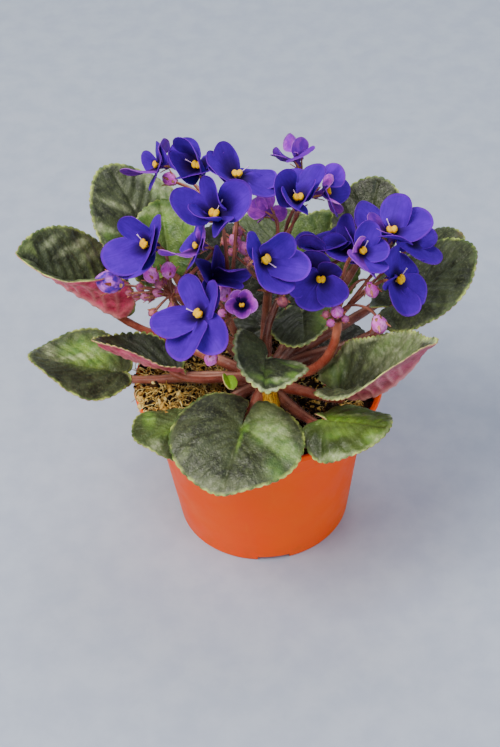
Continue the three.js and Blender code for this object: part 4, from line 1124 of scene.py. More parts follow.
def buildStems(name, lines, slotName, *nodes):
    mesh = bpy.data.meshes.new(name + "Lines")
    mesh.from_pydata((np.array(lines.points) * mm).tolist(), lines.edges, [])
    for key, values in lines.values.items():
        mesh.attributes.new(key, "FLOAT", "POINT").data.foreach_set("value", np.array(values, np.float32))
    made = runTree(stemTube, mesh, name, {"Sides": stems["sides"], "Ripple": stems["ripple"] * mm,
                                          "Material": finishes["stem"]})
    made.shade_smooth()
    return showPiece(name, made, "stem", slotName, *nodes)


def petioleLine(leaf):
    c = crown
    axis, left, normal, joint = leafFrame(leaf)
    out = math.atan2(joint[1] - c["y"], joint[0] - c["x"])
    height = next(z for above, z in c["levels"] if joint[2] > above)
    start = vec(c["x"] + c["petioleStart"] * math.cos(out), c["y"] + c["petioleStart"] * math.sin(out), height)
    reach = np.linalg.norm(joint - start)
    leave = heading(out, math.radians(leaf["lift"]))
    end = joint - normal * (0.9 + c["petioleTip"]) + axis * 0.5
    droop = math.radians(leaf["droop"])
    arrive = axis * math.cos(droop) + normal * math.sin(droop)
    line = bezier(start, start + leave * reach * leaf["near"], end - arrive * reach * leaf["far"], end, 26)
    t = np.linspace(0, 1, len(line))
    radii = (c["petioleBase"] + (c["petioleTip"] - c["petioleBase"]) * smooth((t - 0.1) / 0.9)) * leaf["stem"]
    # The last stretch sinks into the blade's midrib.
    tail = end + axis * 3 + normal * 1.1
    return np.concatenate([line, [tail]]), np.concatenate([radii, [0.7]])


def buildCrown():
    lines = Lines()
    for leaf in leaves.values():
        line, radii = petioleLine(leaf)
        lines.add(line, radii, np.linspace(*leaf["warm"], len(line)))
    lines.add([(crown["x"], crown["y"], z) for z, _ in crown["heart"]], [r for _, r in crown["heart"]], 0.1)
    return buildStems("petioles", lines, "petiole", "crown")


def buildStump():
    # The cut end of an old stem, with furrows along it and a ragged face.
    c = crown
    start = vec(c["x"] + 1, c["y"] - 2, c["stubHeight"])
    end = start + vec(0.5, -c["stubLength"], 0)
    axis = unit(end - start)
    side = unit(np.cross(vec(0, 0, 1), axis))
    up = np.cross(axis, side)
    angles = ringAngles(c["stubSides"])
    points = [start[None]]
    for t in np.linspace(0, 1, c["stubRings"]):
        r = c["stubRadius"] * (1 - 0.12 * t) * (1 + 0.07 * np.sin(angles * 9 + t) + 0.04 * np.sin(angles * 17))
        if t == 1:
            r = r * 0.8
        ragged = 0.5 * np.sin(angles * 5 + 1) * t
        points.append(start + (end - start) * t + axis * ragged[:, None]
                      + side * (r * np.cos(angles))[:, None] + up * (r * np.sin(angles))[:, None])
    points.append((end - axis * 0.6)[None])
    store = Store()
    store.add(np.concatenate(points), cappedFaces(c["stubSides"], c["stubRings"]))
    showPiece("oldStump", faceOut(meshOf("oldStump", store)), "root", "petiole")


petioles = buildCrown()
buildStump()
print("crown and petioles grown")


# Blooms: at is the middle of the throat, face the azimuth and elevation that the flower looks to.
# Petals run from up, clockwise from the front: two upper, two side ones, one lower.
# deep is how far the painted shade of the throat runs out along each petal, and inside ends a pale bloom's violet
# middle, which that painted shade darkens.
# style is the turn of the pistil, where it shows, and anther the scale of the pollen sacs.
bloomLook = {
    "reach": 19, "throat": 28, "thick": 0.42, "rows": 14, "columns": 26, "layer": (-0.5, -0.15, 0.35, 0.6, 0.1),
    "ruffle": 0.4, "foldDepth": 0.35, "foldWidth": 1.3, "ridges": 34, "ridgeDepth": 0.07, "slopeSteps": 60,
    "rim": 0.07, "sideRim": 0.03, "tubeSides": 20, "tube": (
        (0.0, -5.6), (1.5, -5.4), (1.9, -4.2), (1.7, -2.4), (1.9, -0.8), (2.3, 0.35), (1.7, 0.3), (0.9, -0.6),
        (0.0, -0.9)),
}
# A petal is its angle, pitch, length, half width, twist, curl and cup; pale is how pink each one is.
blooms = {
    "01": dict(at=(-41, 50.5, 174.5), face=(-160, 23), size=0.87, anther=0.85, pale=(0, 0.2, 0, 0, 0.35),
               deep=(0.5, 0.5, 0.4, 0.6, 0.7), petals=((-5, 15, 11, 8, 0, 5, -20), (-20, -10, 13, 9, 45, -5, -10),
               (-110, 0, 16.5, 5, 10, 5, 10), (95, 20, 16.5, 8.5, 0, 10, 10), (160, 65, 20, 9, -15, 30, -20))),
    "02": dict(at=(-22.5, 28, 187), face=(-105, 62), size=1.02, style=-75, deep=(0.8, 0.7, 0.6, 0.8, 0.6),
               petals=((-60, 30, 15.5, 8.5, 0, 10, 10), (70, 25, 18, 9, 45, 25, -5), (-135, 45, 19.5, 9.5, 10, 25, 5),
               (70, 95, 26, 12, -30, 0, 50), (155, 50, 20, 11, 0, 10, 10))),
    "03": dict(at=(-5, 15, 189), face=(-90, 85), size=1.09, style=60, deep=(1.0, 0.6, 0.6, 0.5, 0.5),
               petals=((-35, 40, 18, 6.5, -5, 25, -10), (75, -25, 19, 10, 10, 20, -20), (-110, 40, 19, 12, 5, 15, 10),
               (130, -10, 20, 11, 25, 0, 5), (200, 30, 21.5, 11, 20, 15, 5))),
    "04": dict(at=(-15, -11, 188.5), face=(-115, 55), size=1.22, style=20, deep=(0.5, 0.7, 0.6, 0.75, 0.6),
               petals=((-100, 50, 24, 9, -15, 10, 15), (-5, 55, 19.5, 9, 40, 15, 30), (-165, 80, 21.5, 8, 0, -10, 50),
               (55, 20, 22.5, 9.5, -5, 15, 30), (130, 25, 23.5, 6, -10, 50, -15))),
    "05": dict(at=(-46, 3, 164), face=(-150, 35), size=1.06, style=-75, petals=((-65, 45, 17.5, 9, 20, 15, 10),
               (35, 25, 17.5, 10, 15, -5, 5), (-165, 40, 22.5, 13.5, -10, 10, 0), (75, 30, 20, 10.5, 0, 10, 10),
               (145, 25, 20.5, 11, 0, 15, 0))),
    "06": dict(at=(-23, -13.5, 174.5), face=(-155, 28), size=0.81, anther=0.85, pale=(0, 0.35, 0, 0, 0.45),
               deep=(0.5, 0.5, 0.5, 0.5, 0.7), petals=((-25, 0, 12.5, 6.5, 20, 10, 10), (10, 15, 12.5, 9, 20, 0, 0),
               (-110, -15, 15, 6, -30, 0, 5), (95, 30, 15.5, 8, 0, 10, 10), (165, 55, 20, 8.5, -15, 40, -15))),
    "07": dict(at=(3.5, -28, 176), face=(-40, 35), size=1.0, style=165, petals=((-15, 15, 16, 5, -5, 15, -10),
               (70, 45, 17, 9, -20, 10, 35), (-85, 30, 19, 8.5, 10, 15, 0), (140, 25, 21.5, 10, 25, 15, 5),
               (200, 25, 19.5, 9.5, 0, 15, 10))),
    "08": dict(at=(21, 1.5, 184.5), face=(-80, 77), size=1.01, style=-20, deep=(0.9, 0.5, 1.0, 0.6, 0.5),
               petals=((0, 20, 15.5, 8.5, 0, 10, 10), (60, 35, 19.5, 8.5, 25, 10, 40), (-70, 50, 18.5, 9, 20, 20, 20),
               (145, 55, 18.5, 7.5, -20, 25, 5), (215, 40, 20, 8.5, 30, 15, 25))),
    "09": dict(at=(32.5, 11, 182), face=(0, 20), size=0.85, pale=(1, 0, 0.1, 0, 1), deep=(0.4, 0.6, 0.6, 0.6, 0.4),
               petals=((5, 60, 9, 6, 0, 15, -15), (45, 55, 14.5, 9.5, -50, 0, 10), (-85, 5, 16, 8.5, 0, 10, 10),
               (135, 30, 16.5, 6, -25, 15, 10), (220, 25, 12, 11.5, 15, 20, -25))),
    "10": dict(at=(29.5, -16.5, 156.5), face=(-95, 13), size=0.87, deep=(1.6, 1.6, 0.5, 0.5, 0.45),
               petals=((-15, 10, 16, 7, 20, 10, 5), (40, 25, 12.5, 5.5, -5, 10, 5), (-90, 30, 17, 8.5, 20, 15, 10),
               (135, 10, 15, 8.5, -10, 0, 35), (205, 5, 17, 8.5, 15, 0, 15))),
    "11": dict(at=(45.5, -26.5, 176.5), face=(-40, 45), size=0.79, style=60, pale=(0.9, 0, 0.3, 0, 0),
               deep=(0.4, 0.5, 0.6, 0.5, 0.5), petals=((-30, 50, 10, 5, 25, 15, 25), (50, 30, 14.5, 6.5, 0, 10, 20),
               (-115, 25, 18, 8.5, 5, 20, -5), (125, 25, 13, 7, 25, 15, 5), (190, 25, 14.5, 8, 10, 15, -5))),
    "12": dict(at=(61, -9.5, 172.5), face=(-90, 77), size=1.01, style=-20, pale=(0, 0, 0.3, 0, 0),
               deep=(0.6, 0.5, 0.8, 0.45, 0.7), petals=((-55, 15, 20, 9, -10, 25, -20), (20, 30, 18.5, 8, 20, 5, 25),
               (-115, 50, 19, 8, 0, 5, 50), (95, 20, 19.5, 10.5, 5, 5, 20), (180, 35, 20, 8.5, 15, 25, -15))),
    "13": dict(at=(62.5, -16.5, 152.5), face=(-40, 28), size=1.04, style=60, petals=((10, -5, 19.5, 8.5, -10, 55, -25),
               (80, -10, 15, 8, 15, 0, 15), (-65, 25, 20, 4, 45, 5, 20), (150, 5, 18, 7.5, 5, 5, 40),
               (225, 25, 19, 10.5, -5, 5, 30))),
    "14": dict(at=(-23.5, -38.5, 155.5), face=(-150, 57), size=1.09, style=-110, petals=((-50, 40, 19.5, 8.5, 20, 15,
               25), (15, 30, 18.5, 8.5, 10, 15, 5), (-145, 10, 23, 11, -20, 15, -15), (100, -10, 21, 9, -10, -10, 30),
               (155, 0, 22.5, 11.5, -10, 0, 25))),
    "15": dict(at=(-6, -25, 149), face=(-90, 52), size=0.6, anther=0.85, pale=(0.9, 0.9, 1, 1, 1), inside=0.4,
               deep=(1.05, 1.05, 1.05, 1.05, 1.05), petals=((-34, 60, 10.5, 3.9, 5, 0, 40),
               (34, 60, 10.5, 3.9, -5, 0, 40), (-106, 55, 11, 4.2, 5, -10, 40), (106, 55, 11, 4.2, -5, -10, 40),
               (180, 58, 11, 4.3, 0, -10, 40))),
    "16": dict(at=(22, 35.5, 183.5), face=(125, 47), size=0.8, pale=(0.75, 0.35, 0.15, 0.15, 0.2),
               petals=((-75, 85, 13, 8, 45, 20, 25), (-25, 50, 11, 6, 10, 20, -15), (-175, 15, 16.5, 8, -45, -10, 40),
               (10, -10, 15, 7.5, -5, 0, 10), (125, 35, 12, 6, 0, 10, 10))),
    "17": dict(at=(8, 13, 171.5), face=(125, 5), size=0.7, pale=(0.9, 0.9, 1, 1, 0.9),
               petals=((-5, 30, 10, 5.5, 0, 10, 10), (60, 30, 10, 5.5, 0, 10, 10), (-175, 40, 14.5, 4, 10, 35, -20),
               (235, -5, 14.5, 4, 15, 5, -10), (205, 30, 12, 6, 0, 10, 10))),
    "18": dict(at=(31, 1, 158), face=(45, 85), size=0.85, deep=(1.0, 1.0, 0.9, 0.9, 0.9),
               petals=((5, 40, 15.5, 7, -30, 35, -20), (70, 10, 13, 7, 0, 10, 10), (-75, 30, 16, 8.5, 0, 10, 10),
               (170, 0, 14.5, 8, 20, 10, 10), (215, 25, 16.5, 9, 0, 10, 10))),
    "19": dict(at=(-18.5, -13, 158), face=(-35, 8), size=0.93, deep=(0.9, 0.9, 0.9, 0.9, 0.9),
               petals=((-40, -5, 16, 7.5, -45, 20, -15), (65, -15, 13, 10.5, -5, -5, 20),
               (-125, 0, 17.5, 9.5, 0, 10, 10), (90, 55, 18.5, 8.5, -35, 5, 45), (190, 80, 16, 9, 20, 10, 10))),
    "20": dict(at=(43.5, -4.5, 161), face=(-115, 48), size=0.85, deep=(0.9, 0.8, 0.8, 0.7, 0.7),
               petals=((-85, 30, 14, 5, 15, 10, 10), (-20, 10, 16.5, 6.5, 35, 0, 30), (-165, 60, 16, 8.5, 0, 10, 10),
               (55, 75, 16, 8.5, 0, 10, 10), (140, 60, 17.5, 9.5, 25, 5, 20))),
    "21": dict(at=(72, 5, 156), face=(-70, 55), size=0.85, petals=((25, 30, 13, 7, 0, 10, 10),
               (90, 15, 12, 6, 15, 5, 20), (-55, 45, 16, 8.5, 0, 10, 10), (160, 15, 17, 7, 20, 15, 10),
               (235, 45, 16.5, 9, 0, 10, 10))),
}
usualBloom = dict(pale=(0,) * 5, deep=(0.4,) * 5, anther=1)
blooms = {key: {**usualBloom, **bloom} for key, bloom in blooms.items()}
withAnthers = ["%02d" % k for k in range(1, 16)]
lilacBlooms = ("15", "16", "17")


def bloomFrame(bloom):
    front = heading(*(math.radians(v) for v in bloom["face"]))
    up = unit(vec(0, 0, 1) - front * front[2])
    return front, up, np.cross(up, front), vec(*bloom["at"])


def petalOutline(length, half, count):
    # Half width along the petal: a narrow claw that opens to a round lobe.
    end = 0.44 * length
    mid = length - end
    s = np.concatenate([np.linspace(0.16 * length, mid, 30),
                        mid + end * np.sin(np.linspace(0, math.pi / 2, 40))[1:]])
    claw = half * (0.3 + 0.7 * np.sin(np.clip(s / mid, 0, 1) * math.pi / 2) ** 1.1)
    lobe = half * np.sqrt(np.maximum(0, 1 - (np.maximum(s - mid, 0) / end) ** 2))
    w = np.where(s < mid, claw, lobe)
    return resample(np.concatenate([np.stack([s, -w], 1), np.stack([s[::-1], w[::-1]], 1)[1:]]), count)


def petalSurface(bloom, i, rng):
    look, size = bloomLook, bloom["size"]
    angle, pitch, length, half, twist, curl, cup = bloom["petals"][i]
    line = petalOutline(length, half, look["columns"])
    # y grows with the clockwise turn seen from the front
    share = np.linspace(0, 1, look["rows"] + 1)[:, None]
    across = np.linspace(-1, 1, look["columns"] + 1)[None]
    base = np.stack([np.full_like(across, 0.9 * size), across * 1.15 * size], -1)
    flat = base + (line[None] - base) * share[..., None]
    s, y = flat[..., 0], flat[..., 1]
    # the spine: steep in the throat, then the petal's own pitch, and steeper with its curl
    whole = look["reach"] * size
    steps = look["slopeSteps"]
    step = length * 1.05 / steps
    q = (np.arange(steps) + 0.5) * step / whole
    turned = smooth(q / 0.3)
    slope = np.radians(look["throat"] * (1 - turned) + pitch * turned + curl * q)
    marks = np.arange(steps + 1) * step
    out = np.interp(s, marks, np.concatenate([[0], np.cumsum(np.cos(slope) * step)]))
    rise = np.interp(s, marks, np.concatenate([[0], np.cumsum(np.sin(slope) * step)]))
    tilt = np.interp(s, marks[:-1] + step / 2, slope)[..., None]
    front, up, right, at = bloomFrame(bloom)
    theta = math.radians(angle)
    ahead = up * math.cos(theta) + right * math.sin(theta)
    side = right * math.cos(theta) - up * math.sin(theta)
    normal = front * np.cos(tilt) - ahead * np.sin(tilt)
    turn = math.radians(twist) * smooth(s / whole / 0.5)[..., None]
    level = side * np.cos(turn) + normal * np.sin(turn)
    above = normal * np.cos(turn) - side * np.sin(turn)
    k = math.radians(cup + 0.01) / half
    wide = np.sin(k * y) / k
    phase = rng.uniform(0, turnRound, 3)
    edge = smooth((share - 0.35) / 0.65) * np.ones_like(across)
    lift = (1 - np.cos(k * y)) / k + look["layer"][i] * size * smooth(s / (7 * size))
    lift += look["ruffle"] * size * edge * (np.sin(across * 7 + phase[0]) * 0.6 + np.sin(across * 13 + phase[1]) * 0.3)
    # a shallow fold along the middle and faint ridges that fan out from the throat
    fold = look["foldDepth"] * size * bell(y / (look["foldWidth"] * size))
    ridges = look["ridgeDepth"] * size * np.sin(np.arctan2(y, s) * look["ridges"] + phase[2])
    lift -= fold * smooth(s / (5 * size)) * (1 - 0.6 * edge)
    lift += ridges * smooth(s / (6 * size)) * (1 - 0.5 * edge)
    points = at + ahead * out[..., None] + front * rise[..., None] + level * wide[..., None] + above * lift[..., None]
    ones = np.ones_like(wide)
    return points.reshape(-1, 3), flat.reshape(-1, 2), (share * ones).ravel(), (np.abs(across) * ones).ravel()


def buildBloom(key):
    bloom, look = blooms[key], bloomLook
    size = bloom["size"]
    rng = np.random.default_rng(700 + int(key))
    store = Store()
    faces, border = sheetFaces(look["rows"] + 1, look["columns"] + 1)
    for i in range(5):
        points, flat, share, across = petalSurface(bloom, i, rng)
        sideRim = smooth((across - 1 + look["sideRim"]) / look["sideRim"]) * smooth((share - 0.5) / 0.4)
        rim = np.maximum(smooth((share - 1 + look["rim"]) / look["rim"]), sideRim)
        thick = look["thick"] * size ** 0.5 * (1 - 0.5 * rim) / 2
        both, shell = closedSheet(points, faces, border, thick, thick)
        n = len(share)
        pale = np.full(2 * n, bloom["pale"][i], float)
        if "inside" in bloom:
            pale[:n] *= smooth((share - bloom["inside"]) / 0.2)
        store.add(both, shell, flat=twice(flat + i * vec(40, 17)), reach=twice(share), edge=twice(rim * 0.5),
                  under=np.repeat((0.0, 1.0), n), pale=pale, deep=bloom["deep"][i])
    # the short tube behind the petals
    front, up, right, at = bloomFrame(bloom)
    local, tubeFaces = lathe([(r * size, z * size) for r, z in look["tube"]], look["tubeSides"])
    store.add(at + local[:, :1] * right + local[:, 1:2] * up + local[:, 2:] * front, tubeFaces, flat=local[:, :2],
              reach=0.0, deep=0.4, under=0.6, pale=max(bloom["pale"]) * 0.5)
    mesh = faceOut(meshOf("bloom" + key, store))
    showPiece("bloom" + key, mesh, "petal", "petal_pale" if key in lilacBlooms else "petal", "bloom_" + key)


def eggPoints(centre, axes, sizes, sides, rings, dent):
    turns = np.linspace(0, math.pi, rings + 1)[1:-1]
    profile = [(0, -1), *((math.sin(t), -math.cos(t)) for t in turns), (0, 1)]
    local, faces = lathe(profile, sides)
    x, y, z = (local[:, k:k + 1] for k in range(3))
    pinch = 1 - dent * bell((np.abs(np.arctan2(y, x)) - math.pi / 2) / 0.5) * (1 - np.abs(z))
    return (centre + z * sizes[0] * axes[0] + x * pinch * sizes[1] * axes[1] + y * pinch * sizes[2] * axes[2]), faces


def tubePoints(line, radii, sides=8):
    # A closed tube about a short line, for the parts of a flower.
    points = [line[0][None]]
    side = vec(0, 0, 1) if abs(unit(line[1] - line[0])[2]) < 0.9 else vec(1, 0, 0)
    angles = ringAngles(sides)[:, None]
    for i, p in enumerate(line):
        ahead = unit(line[min(i + 1, len(line) - 1)] - line[max(i - 1, 0)])
        side = unit(side - ahead * side.dot(ahead))
        points.append(p + radii[i] * (np.cos(angles) * side + np.sin(angles) * np.cross(ahead, side)))
    points.append(line[-1][None])
    return np.concatenate(points), [face[::-1] for face in cappedFaces(sides, len(line))]


antherLook = {
    "lift": 3.2, "length": 2.0, "width": 1.4, "height": 1.25, "spread": 1.0, "style": 5.5, "sides": 18,
    "rings": 12, "dent": 0.22, "filament": 0.42, "styleRadius": 0.22, "stigma": (0.32, 0.38),
}


def buildAnthers(key):
    bloom, look = blooms[key], antherLook
    front, up, right, at = bloomFrame(bloom)
    size = min(1, bloom["size"]) * bloom["anther"]
    centre = at + front * look["lift"] * max(size, 0.75)
    sizes = [look[part] * size for part in ("length", "width", "height")]
    store = Store()
    for side in (-1, 1):
        spot = centre + right * side * look["spread"] * size
        lean = unit(up + right * side * 0.18)
        axes = [lean, unit(np.cross(lean, front)), front]
        store.add(*eggPoints(spot, axes, sizes, look["sides"], look["rings"], look["dent"]), white=0.0)
        line = bezier(at + front * 0.2 + right * side * 0.7 * size, at + front * 1.6 + right * side * 1.5 * size,
                      spot - front * 1.2 - up * 0.8 * size, spot - front * 0.3, 6)
        store.add(*tubePoints(line, np.full(7, look["filament"] * size)), white=0.25)
    if "style" in bloom:
        turn = math.radians(bloom["style"])
        out = up * math.cos(turn) + right * math.sin(turn)
        reach = look["style"] * bloom["size"]
        line = bezier(at + front * 0.8, at + front * 3 + out * 1.2, at + front * 3.6 + out * reach * 0.7,
                      at + front * 4.4 + out * reach, 9)
        radii = np.concatenate([np.full(8, look["styleRadius"]), look["stigma"]])
        store.add(*tubePoints(line, radii), white=1.0)
    showPiece("anthers" + key, faceOut(meshOf("anthers" + key, store)), "anther", "anther", "anthers_" + key)


for bloomKey in blooms:
    buildBloom(bloomKey)
for bloomKey in withAnthers:
    buildAnthers(bloomKey)
print("blooms opened")


# Sprays: a peduncle from the crown to its knee, then a thin stalk to every bloom and bud.
# start and twigs say where a bloom or a bud (by its number) leaves another stalk.
# A bud is x, y, z, scale and how brown and how violet it is; a last 1 makes it nod on an arched stalk.
sprayLook = {
    "baseRadius": 1.8, "kneeRadius": 1.4, "girth": 1.12, "stalkRadius": 0.8, "tubeRadius": 1.9, "calyxStart": 6.5,
    "calyxPlace": 5.2, "calyxLength": 5.0, "calyxSpread": 0.35, "sepals": 5, "sepalTurn": 0.4, "sepalThick": 0.2,
    "sepalWidth": 0.17, "sepalCurl": 0.18, "sepalSteps": 7, "sepalColumns": 4, "budLength": 4.3, "budRadius": 3.2,
    "budFoot": 2.8, "budCalyx": 3.4, "budSepal": 5.6, "budSpread": 0.34, "budRings": 16, "budSides": 30, "creases": 5,
    "nodBend": 11, "nodRise": 14, "nodTowards": (0.35, -0.35, -1),
}
sprays = {
    "Left": dict(node="spray_left", base=(-1, -4, 97), knee=(-38, 1, 136), warm=0.2,
                 blooms={"01": dict(start=(-21, 33.5, 166.5), lean=(-1, 3, 3)),
                         "02": dict(lean=(16, 20, 8), far=0.4), "05": {}, "06": dict(lean=(8, 4, 10))},
                 buds=[(-36.5, 45, 170, 1, 0, 0), (-65.5, 2, 145, 1.65, 0, 1), (-33, 28, 169, 0.7, 0.5, 0),
                       (-46.5, 4, 146, 1.1, 0, 0), (-38.5, 3, 149, 1.1, 0, 0), (-50, 0, 137, 0.6, 0.7, 0),
                       (-44, 0, 139, 0.65, 0.6, 0), (-54, 3, 135, 0.55, 0.8, 0), (-38, -3, 133, 0.6, 0.8, 0),
                       (-57, 0, 140, 0.5, 0.9, 0), (-47, -4, 131, 0.6, 0.9, 0), (-41, 2, 143, 0.5, 0.8, 0),
                       (-52, 2, 141, 0.6, 0.8, 0), (-43, -2, 145, 0.6, 0.8, 0), (-48, 3, 134, 0.6, 0.9, 0),
                       (-35, 0, 140, 0.55, 0.8, 0)],
                 twigs={0: (-21, 33.5, 166.5), 2: (-21, 33, 165)}),
    "MidLeft": dict(node="spray_mid_left", base=(0, -9.5, 97), knee=(-12, -13, 133), warm=0.15,
                    blooms={"03": {}, "04": {}, "14": dict(lean=(0, -12, 4)), "15": {}, "19": {}},
                    buds=[(-14, -12, 146.5, 1.1, 0.1, 0), (-15, -14, 136.5, 0.6, 0.3, 0), (-21, -30, 124, 0.95, 0, 0)]),
    "Middle": dict(node="spray_middle", base=(3, -2, 97.1), knee=(6, 4, 134), lean=(0, 10), warm=0.15,
                   blooms={"07": {}, "16": {}, "17": {}},
                   buds=[(-7.5, 10, 158.5, 0.9, 0.7, 0.2), (-3.5, 8, 155.5, 0.9, 0.6, 0.2), (-9, 9, 153, 0.6, 0.8, 0),
                         (-6, 12, 163, 0.75, 0.8, 0, 1), (-12, 11, 158, 0.65, 0.9, 0, 1), (-2, 6, 150.5, 0.6, 0.9, 0)]),
    "MidRight": dict(node="spray_mid_right", base=(6.5, -9.5, 97), knee=(15, 7, 134), lean=(-10, -10), near=0.5,
                     warm=0.1, blooms={"08": dict(lean=(-12, 0, 14)), "09": dict(far=0.4), "10": {}, "18": {},
                                       "20": {}},
                     buds=[(12.5, -8, 136.5, 0.8, 0.9, 0)]),
    "Right": dict(node="spray_right", base=(7, -4, 96), knee=(37, -15, 129), bends=((29, -17, 95), (36, -18, 112)),
                  warm=0.85, stalkWarm=0.2, thick=1.3,
                  blooms={"11": {}, "12": {}, "13": {}, "21": {}},
                  buds=[(36.5, -18, 137, 0.9, 0, 0), (33.5, -20, 132.5, 0.6, 0.3, 0), (40, -19, 133.5, 0.55, 0.6, 0),
                        (31.5, -18, 136, 0.55, 0.8, 0), (52.5, -12, 144, 1, 0, 0, 1),
                        (55, -22, 132, 1.15, 0, 0, 1)]),
}
usualSpray = dict(lean=(0, 0), near=0.3, twigs={}, thick=1.0)
sprays = {name: {**usualSpray, **spray} for name, spray in sprays.items()}


def sepal(store, base, along, out, length, width, bendOut):
    # A narrow pointed leaf of the calyx; along is its direction, out points away from the flower's axis.
    side = np.cross(along, out)
    steps, columns = sprayLook["sepalSteps"], sprayLook["sepalColumns"]
    v = np.linspace(-1, 1, columns + 1)[:, None]
    rows = []
    for k in range(steps + 1):
        t = k / steps
        w = width * (0.55 + 0.9 * t) * (1 - t) ** 0.7 + 0.02
        spine = base + along * length * t + out * (0.15 + bendOut * t * t)
        rows.append(spine + side * v * w + out * (-0.28 * w * v * v))
    points = np.concatenate(rows)
    thick = np.full(len(points), sprayLook["sepalThick"])
    both, shell = closedSheet(points, *sheetFaces(steps + 1, columns + 1), thick, thick)
    share = twice(np.repeat(np.linspace(0, 1, steps + 1), columns + 1))
    store.add(both, shell, warm=0.6 + 0.2 * share, green=0.3 * (1 - share), hairy=1.0)


def calyx(store, centre, axis, length, radius, spread):
    look = sprayLook
    side = unit(np.cross(vec(0.3, 0.1, 1), axis))
    over = np.cross(axis, side)
    for k in range(look["sepals"]):
        turn = turnRound * k / look["sepals"] + look["sepalTurn"]
        out = side * math.cos(turn) + over * math.sin(turn)
        sepal(store, centre + out * radius * 0.8, unit(axis + out * spread), unit(out - axis * out.dot(axis)), length,
              length * look["sepalWidth"], length * look["sepalCurl"])


def budShape(store, centre, axis, length, radius, brown, violet, seed):
    # Five petals rolled over each other, shown by creases that wind to the tip, with painted shade along them.
    side = unit(np.cross(vec(0.2, 0.1, 1), axis))
    over = np.cross(axis, side)
    rings = sprayLook["budRings"]
    shares = np.arange(1, rings) / rings
    profile = [(0, -1), *((math.sin(math.pi * t) ** 0.75 * (0.9 + 0.22 * t), 2 * t - 1) for t in shares), (0, 1)]
    local, faces = lathe(profile, sprayLook["budSides"])
    x, y, z = (local[:, k:k + 1] for k in range(3))
    fold = ((np.arctan2(y, x) + z * 0.9 + seed) * sprayLook["creases"] / turnRound) % 1.0
    bulge = radius * (1 + 0.1 * (fold - 0.5) * (1 - np.abs(z) ** 3))
    crease = bell(np.minimum(fold, 1 - fold) / 0.07).ravel()
    store.add(centre + z * length * axis + x * bulge * side + y * bulge * over, faces, brown=brown, violet=violet,
              crease=crease)


def stalkTo(lines, bloom, stalk, knee, warm):
    # The thin stalk of an open bloom, which widens where it meets the tube.
    look = sprayLook
    front, up, right, at = bloomFrame(bloom)
    size = max(bloom["size"], 0.6)
    end = at - front * look["calyxStart"] * size
    start = vec(*stalk.get("start", knee))
    span = np.linalg.norm(end - start)
    thin = bezier(start, start + vec(*stalk.get("lean", (0, 0, 4))), end - front * span * stalk.get("far", 0.2),
                  end, 20)
    radii = np.full(len(thin), look["stalkRadius"] * 1.05)
    lines.add(np.concatenate([thin, [at - front * look["calyxStart"] * size * 0.72]]),
              np.concatenate([radii, [look["tubeRadius"] * size]]), warm, 0.8)
    return at - front * look["calyxPlace"] * size, front, look["calyxLength"] * size, look["tubeRadius"] * size


def buildSpray(name):
    spray, look = sprays[name], sprayLook
    base, knee = vec(*spray["base"]), vec(*spray["knee"])
    reach = np.linalg.norm(knee - base)
    lean = vec(*spray["lean"], 0)
    upright = vec(0, 0, reach)
    bends = spray.get("bends", (base + lean * 0.6 + upright * spray["near"], knee + lean - upright * 0.3))
    stalkWarm = spray.get("stalkWarm", 0.15 + 0.5 * spray["warm"])
    lines, green, budStore = Lines(), Store(), Store()
    main = bezier(base - vec(0, 0, 6), vec(*bends[0]), vec(*bends[1]), knee, 30)
    girth = np.linspace(look["baseRadius"], look["kneeRadius"], len(main)) * (look["girth"] * spray["thick"])
    lines.add(main, girth, spray["warm"])
    for key, stalk in spray["blooms"].items():
        calyx(green, *stalkTo(lines, blooms[key], stalk, knee, stalkWarm), look["calyxSpread"])
    for k, (x, y, z, scale, brown, violet, *nods) in enumerate(spray["buds"]):
        end = vec(x, y, z)
        start = vec(*spray["twigs"].get(k, knee))
        span = np.linalg.norm(end - start)
        towards = unit(vec(*look["nodTowards"])) if nods else unit(end - start)
        bend, rise = (look["nodBend"], look["nodRise"]) if nods else (span * 0.2, min(4, span * 0.2))
        foot = end - towards * look["budFoot"] * scale
        thin = bezier(start, start + vec(0, 0, rise), end - towards * bend, foot, 14)
        lines.add(thin, np.full(len(thin), look["stalkRadius"] * 0.8), stalkWarm, 0.8)
        budShape(budStore, end, towards, look["budLength"] * scale, look["budRadius"] * scale, brown, violet, k * 1.3)
        calyx(green, end - towards * look["budCalyx"] * scale, towards, look["budSepal"] * scale,
              look["tubeRadius"] * scale, look["budSpread"])
    # two small bracts at the knee
    for sign in (-1, 1):
        sepal(green, knee - vec(0, 0, 1), unit(vec(sign * 0.8, -0.3, 0.7)), unit(vec(sign, -0.4, -0.5)), 5.0, 0.9, 1.0)
    stalks = buildStems("stalks" + name, lines, "flower_stalk", spray["node"])
    sepals = showPiece("sepals" + name, meshOf("sepals" + name, green), "stem", "flower_stalk")
    showPiece("buds" + name, faceOut(meshOf("buds" + name, budStore)), "bud", "petal_pale")
    return stalks, sepals


sprayPieces = [buildSpray(name) for name in sprays]
print("sprays grown")


# Hairs: short cones scattered over blades and stems.
hairs = {
    "leaf": {"density": 0.2, "length": 0.9, "width": 0.05, "tilt": 0.6},
    "stem": {"density": 0.8, "length": 1.4, "width": 0.06, "tilt": 0.45},
    "sepal": {"density": 1.4, "length": 1.2, "width": 0.05, "tilt": 0.5},
}


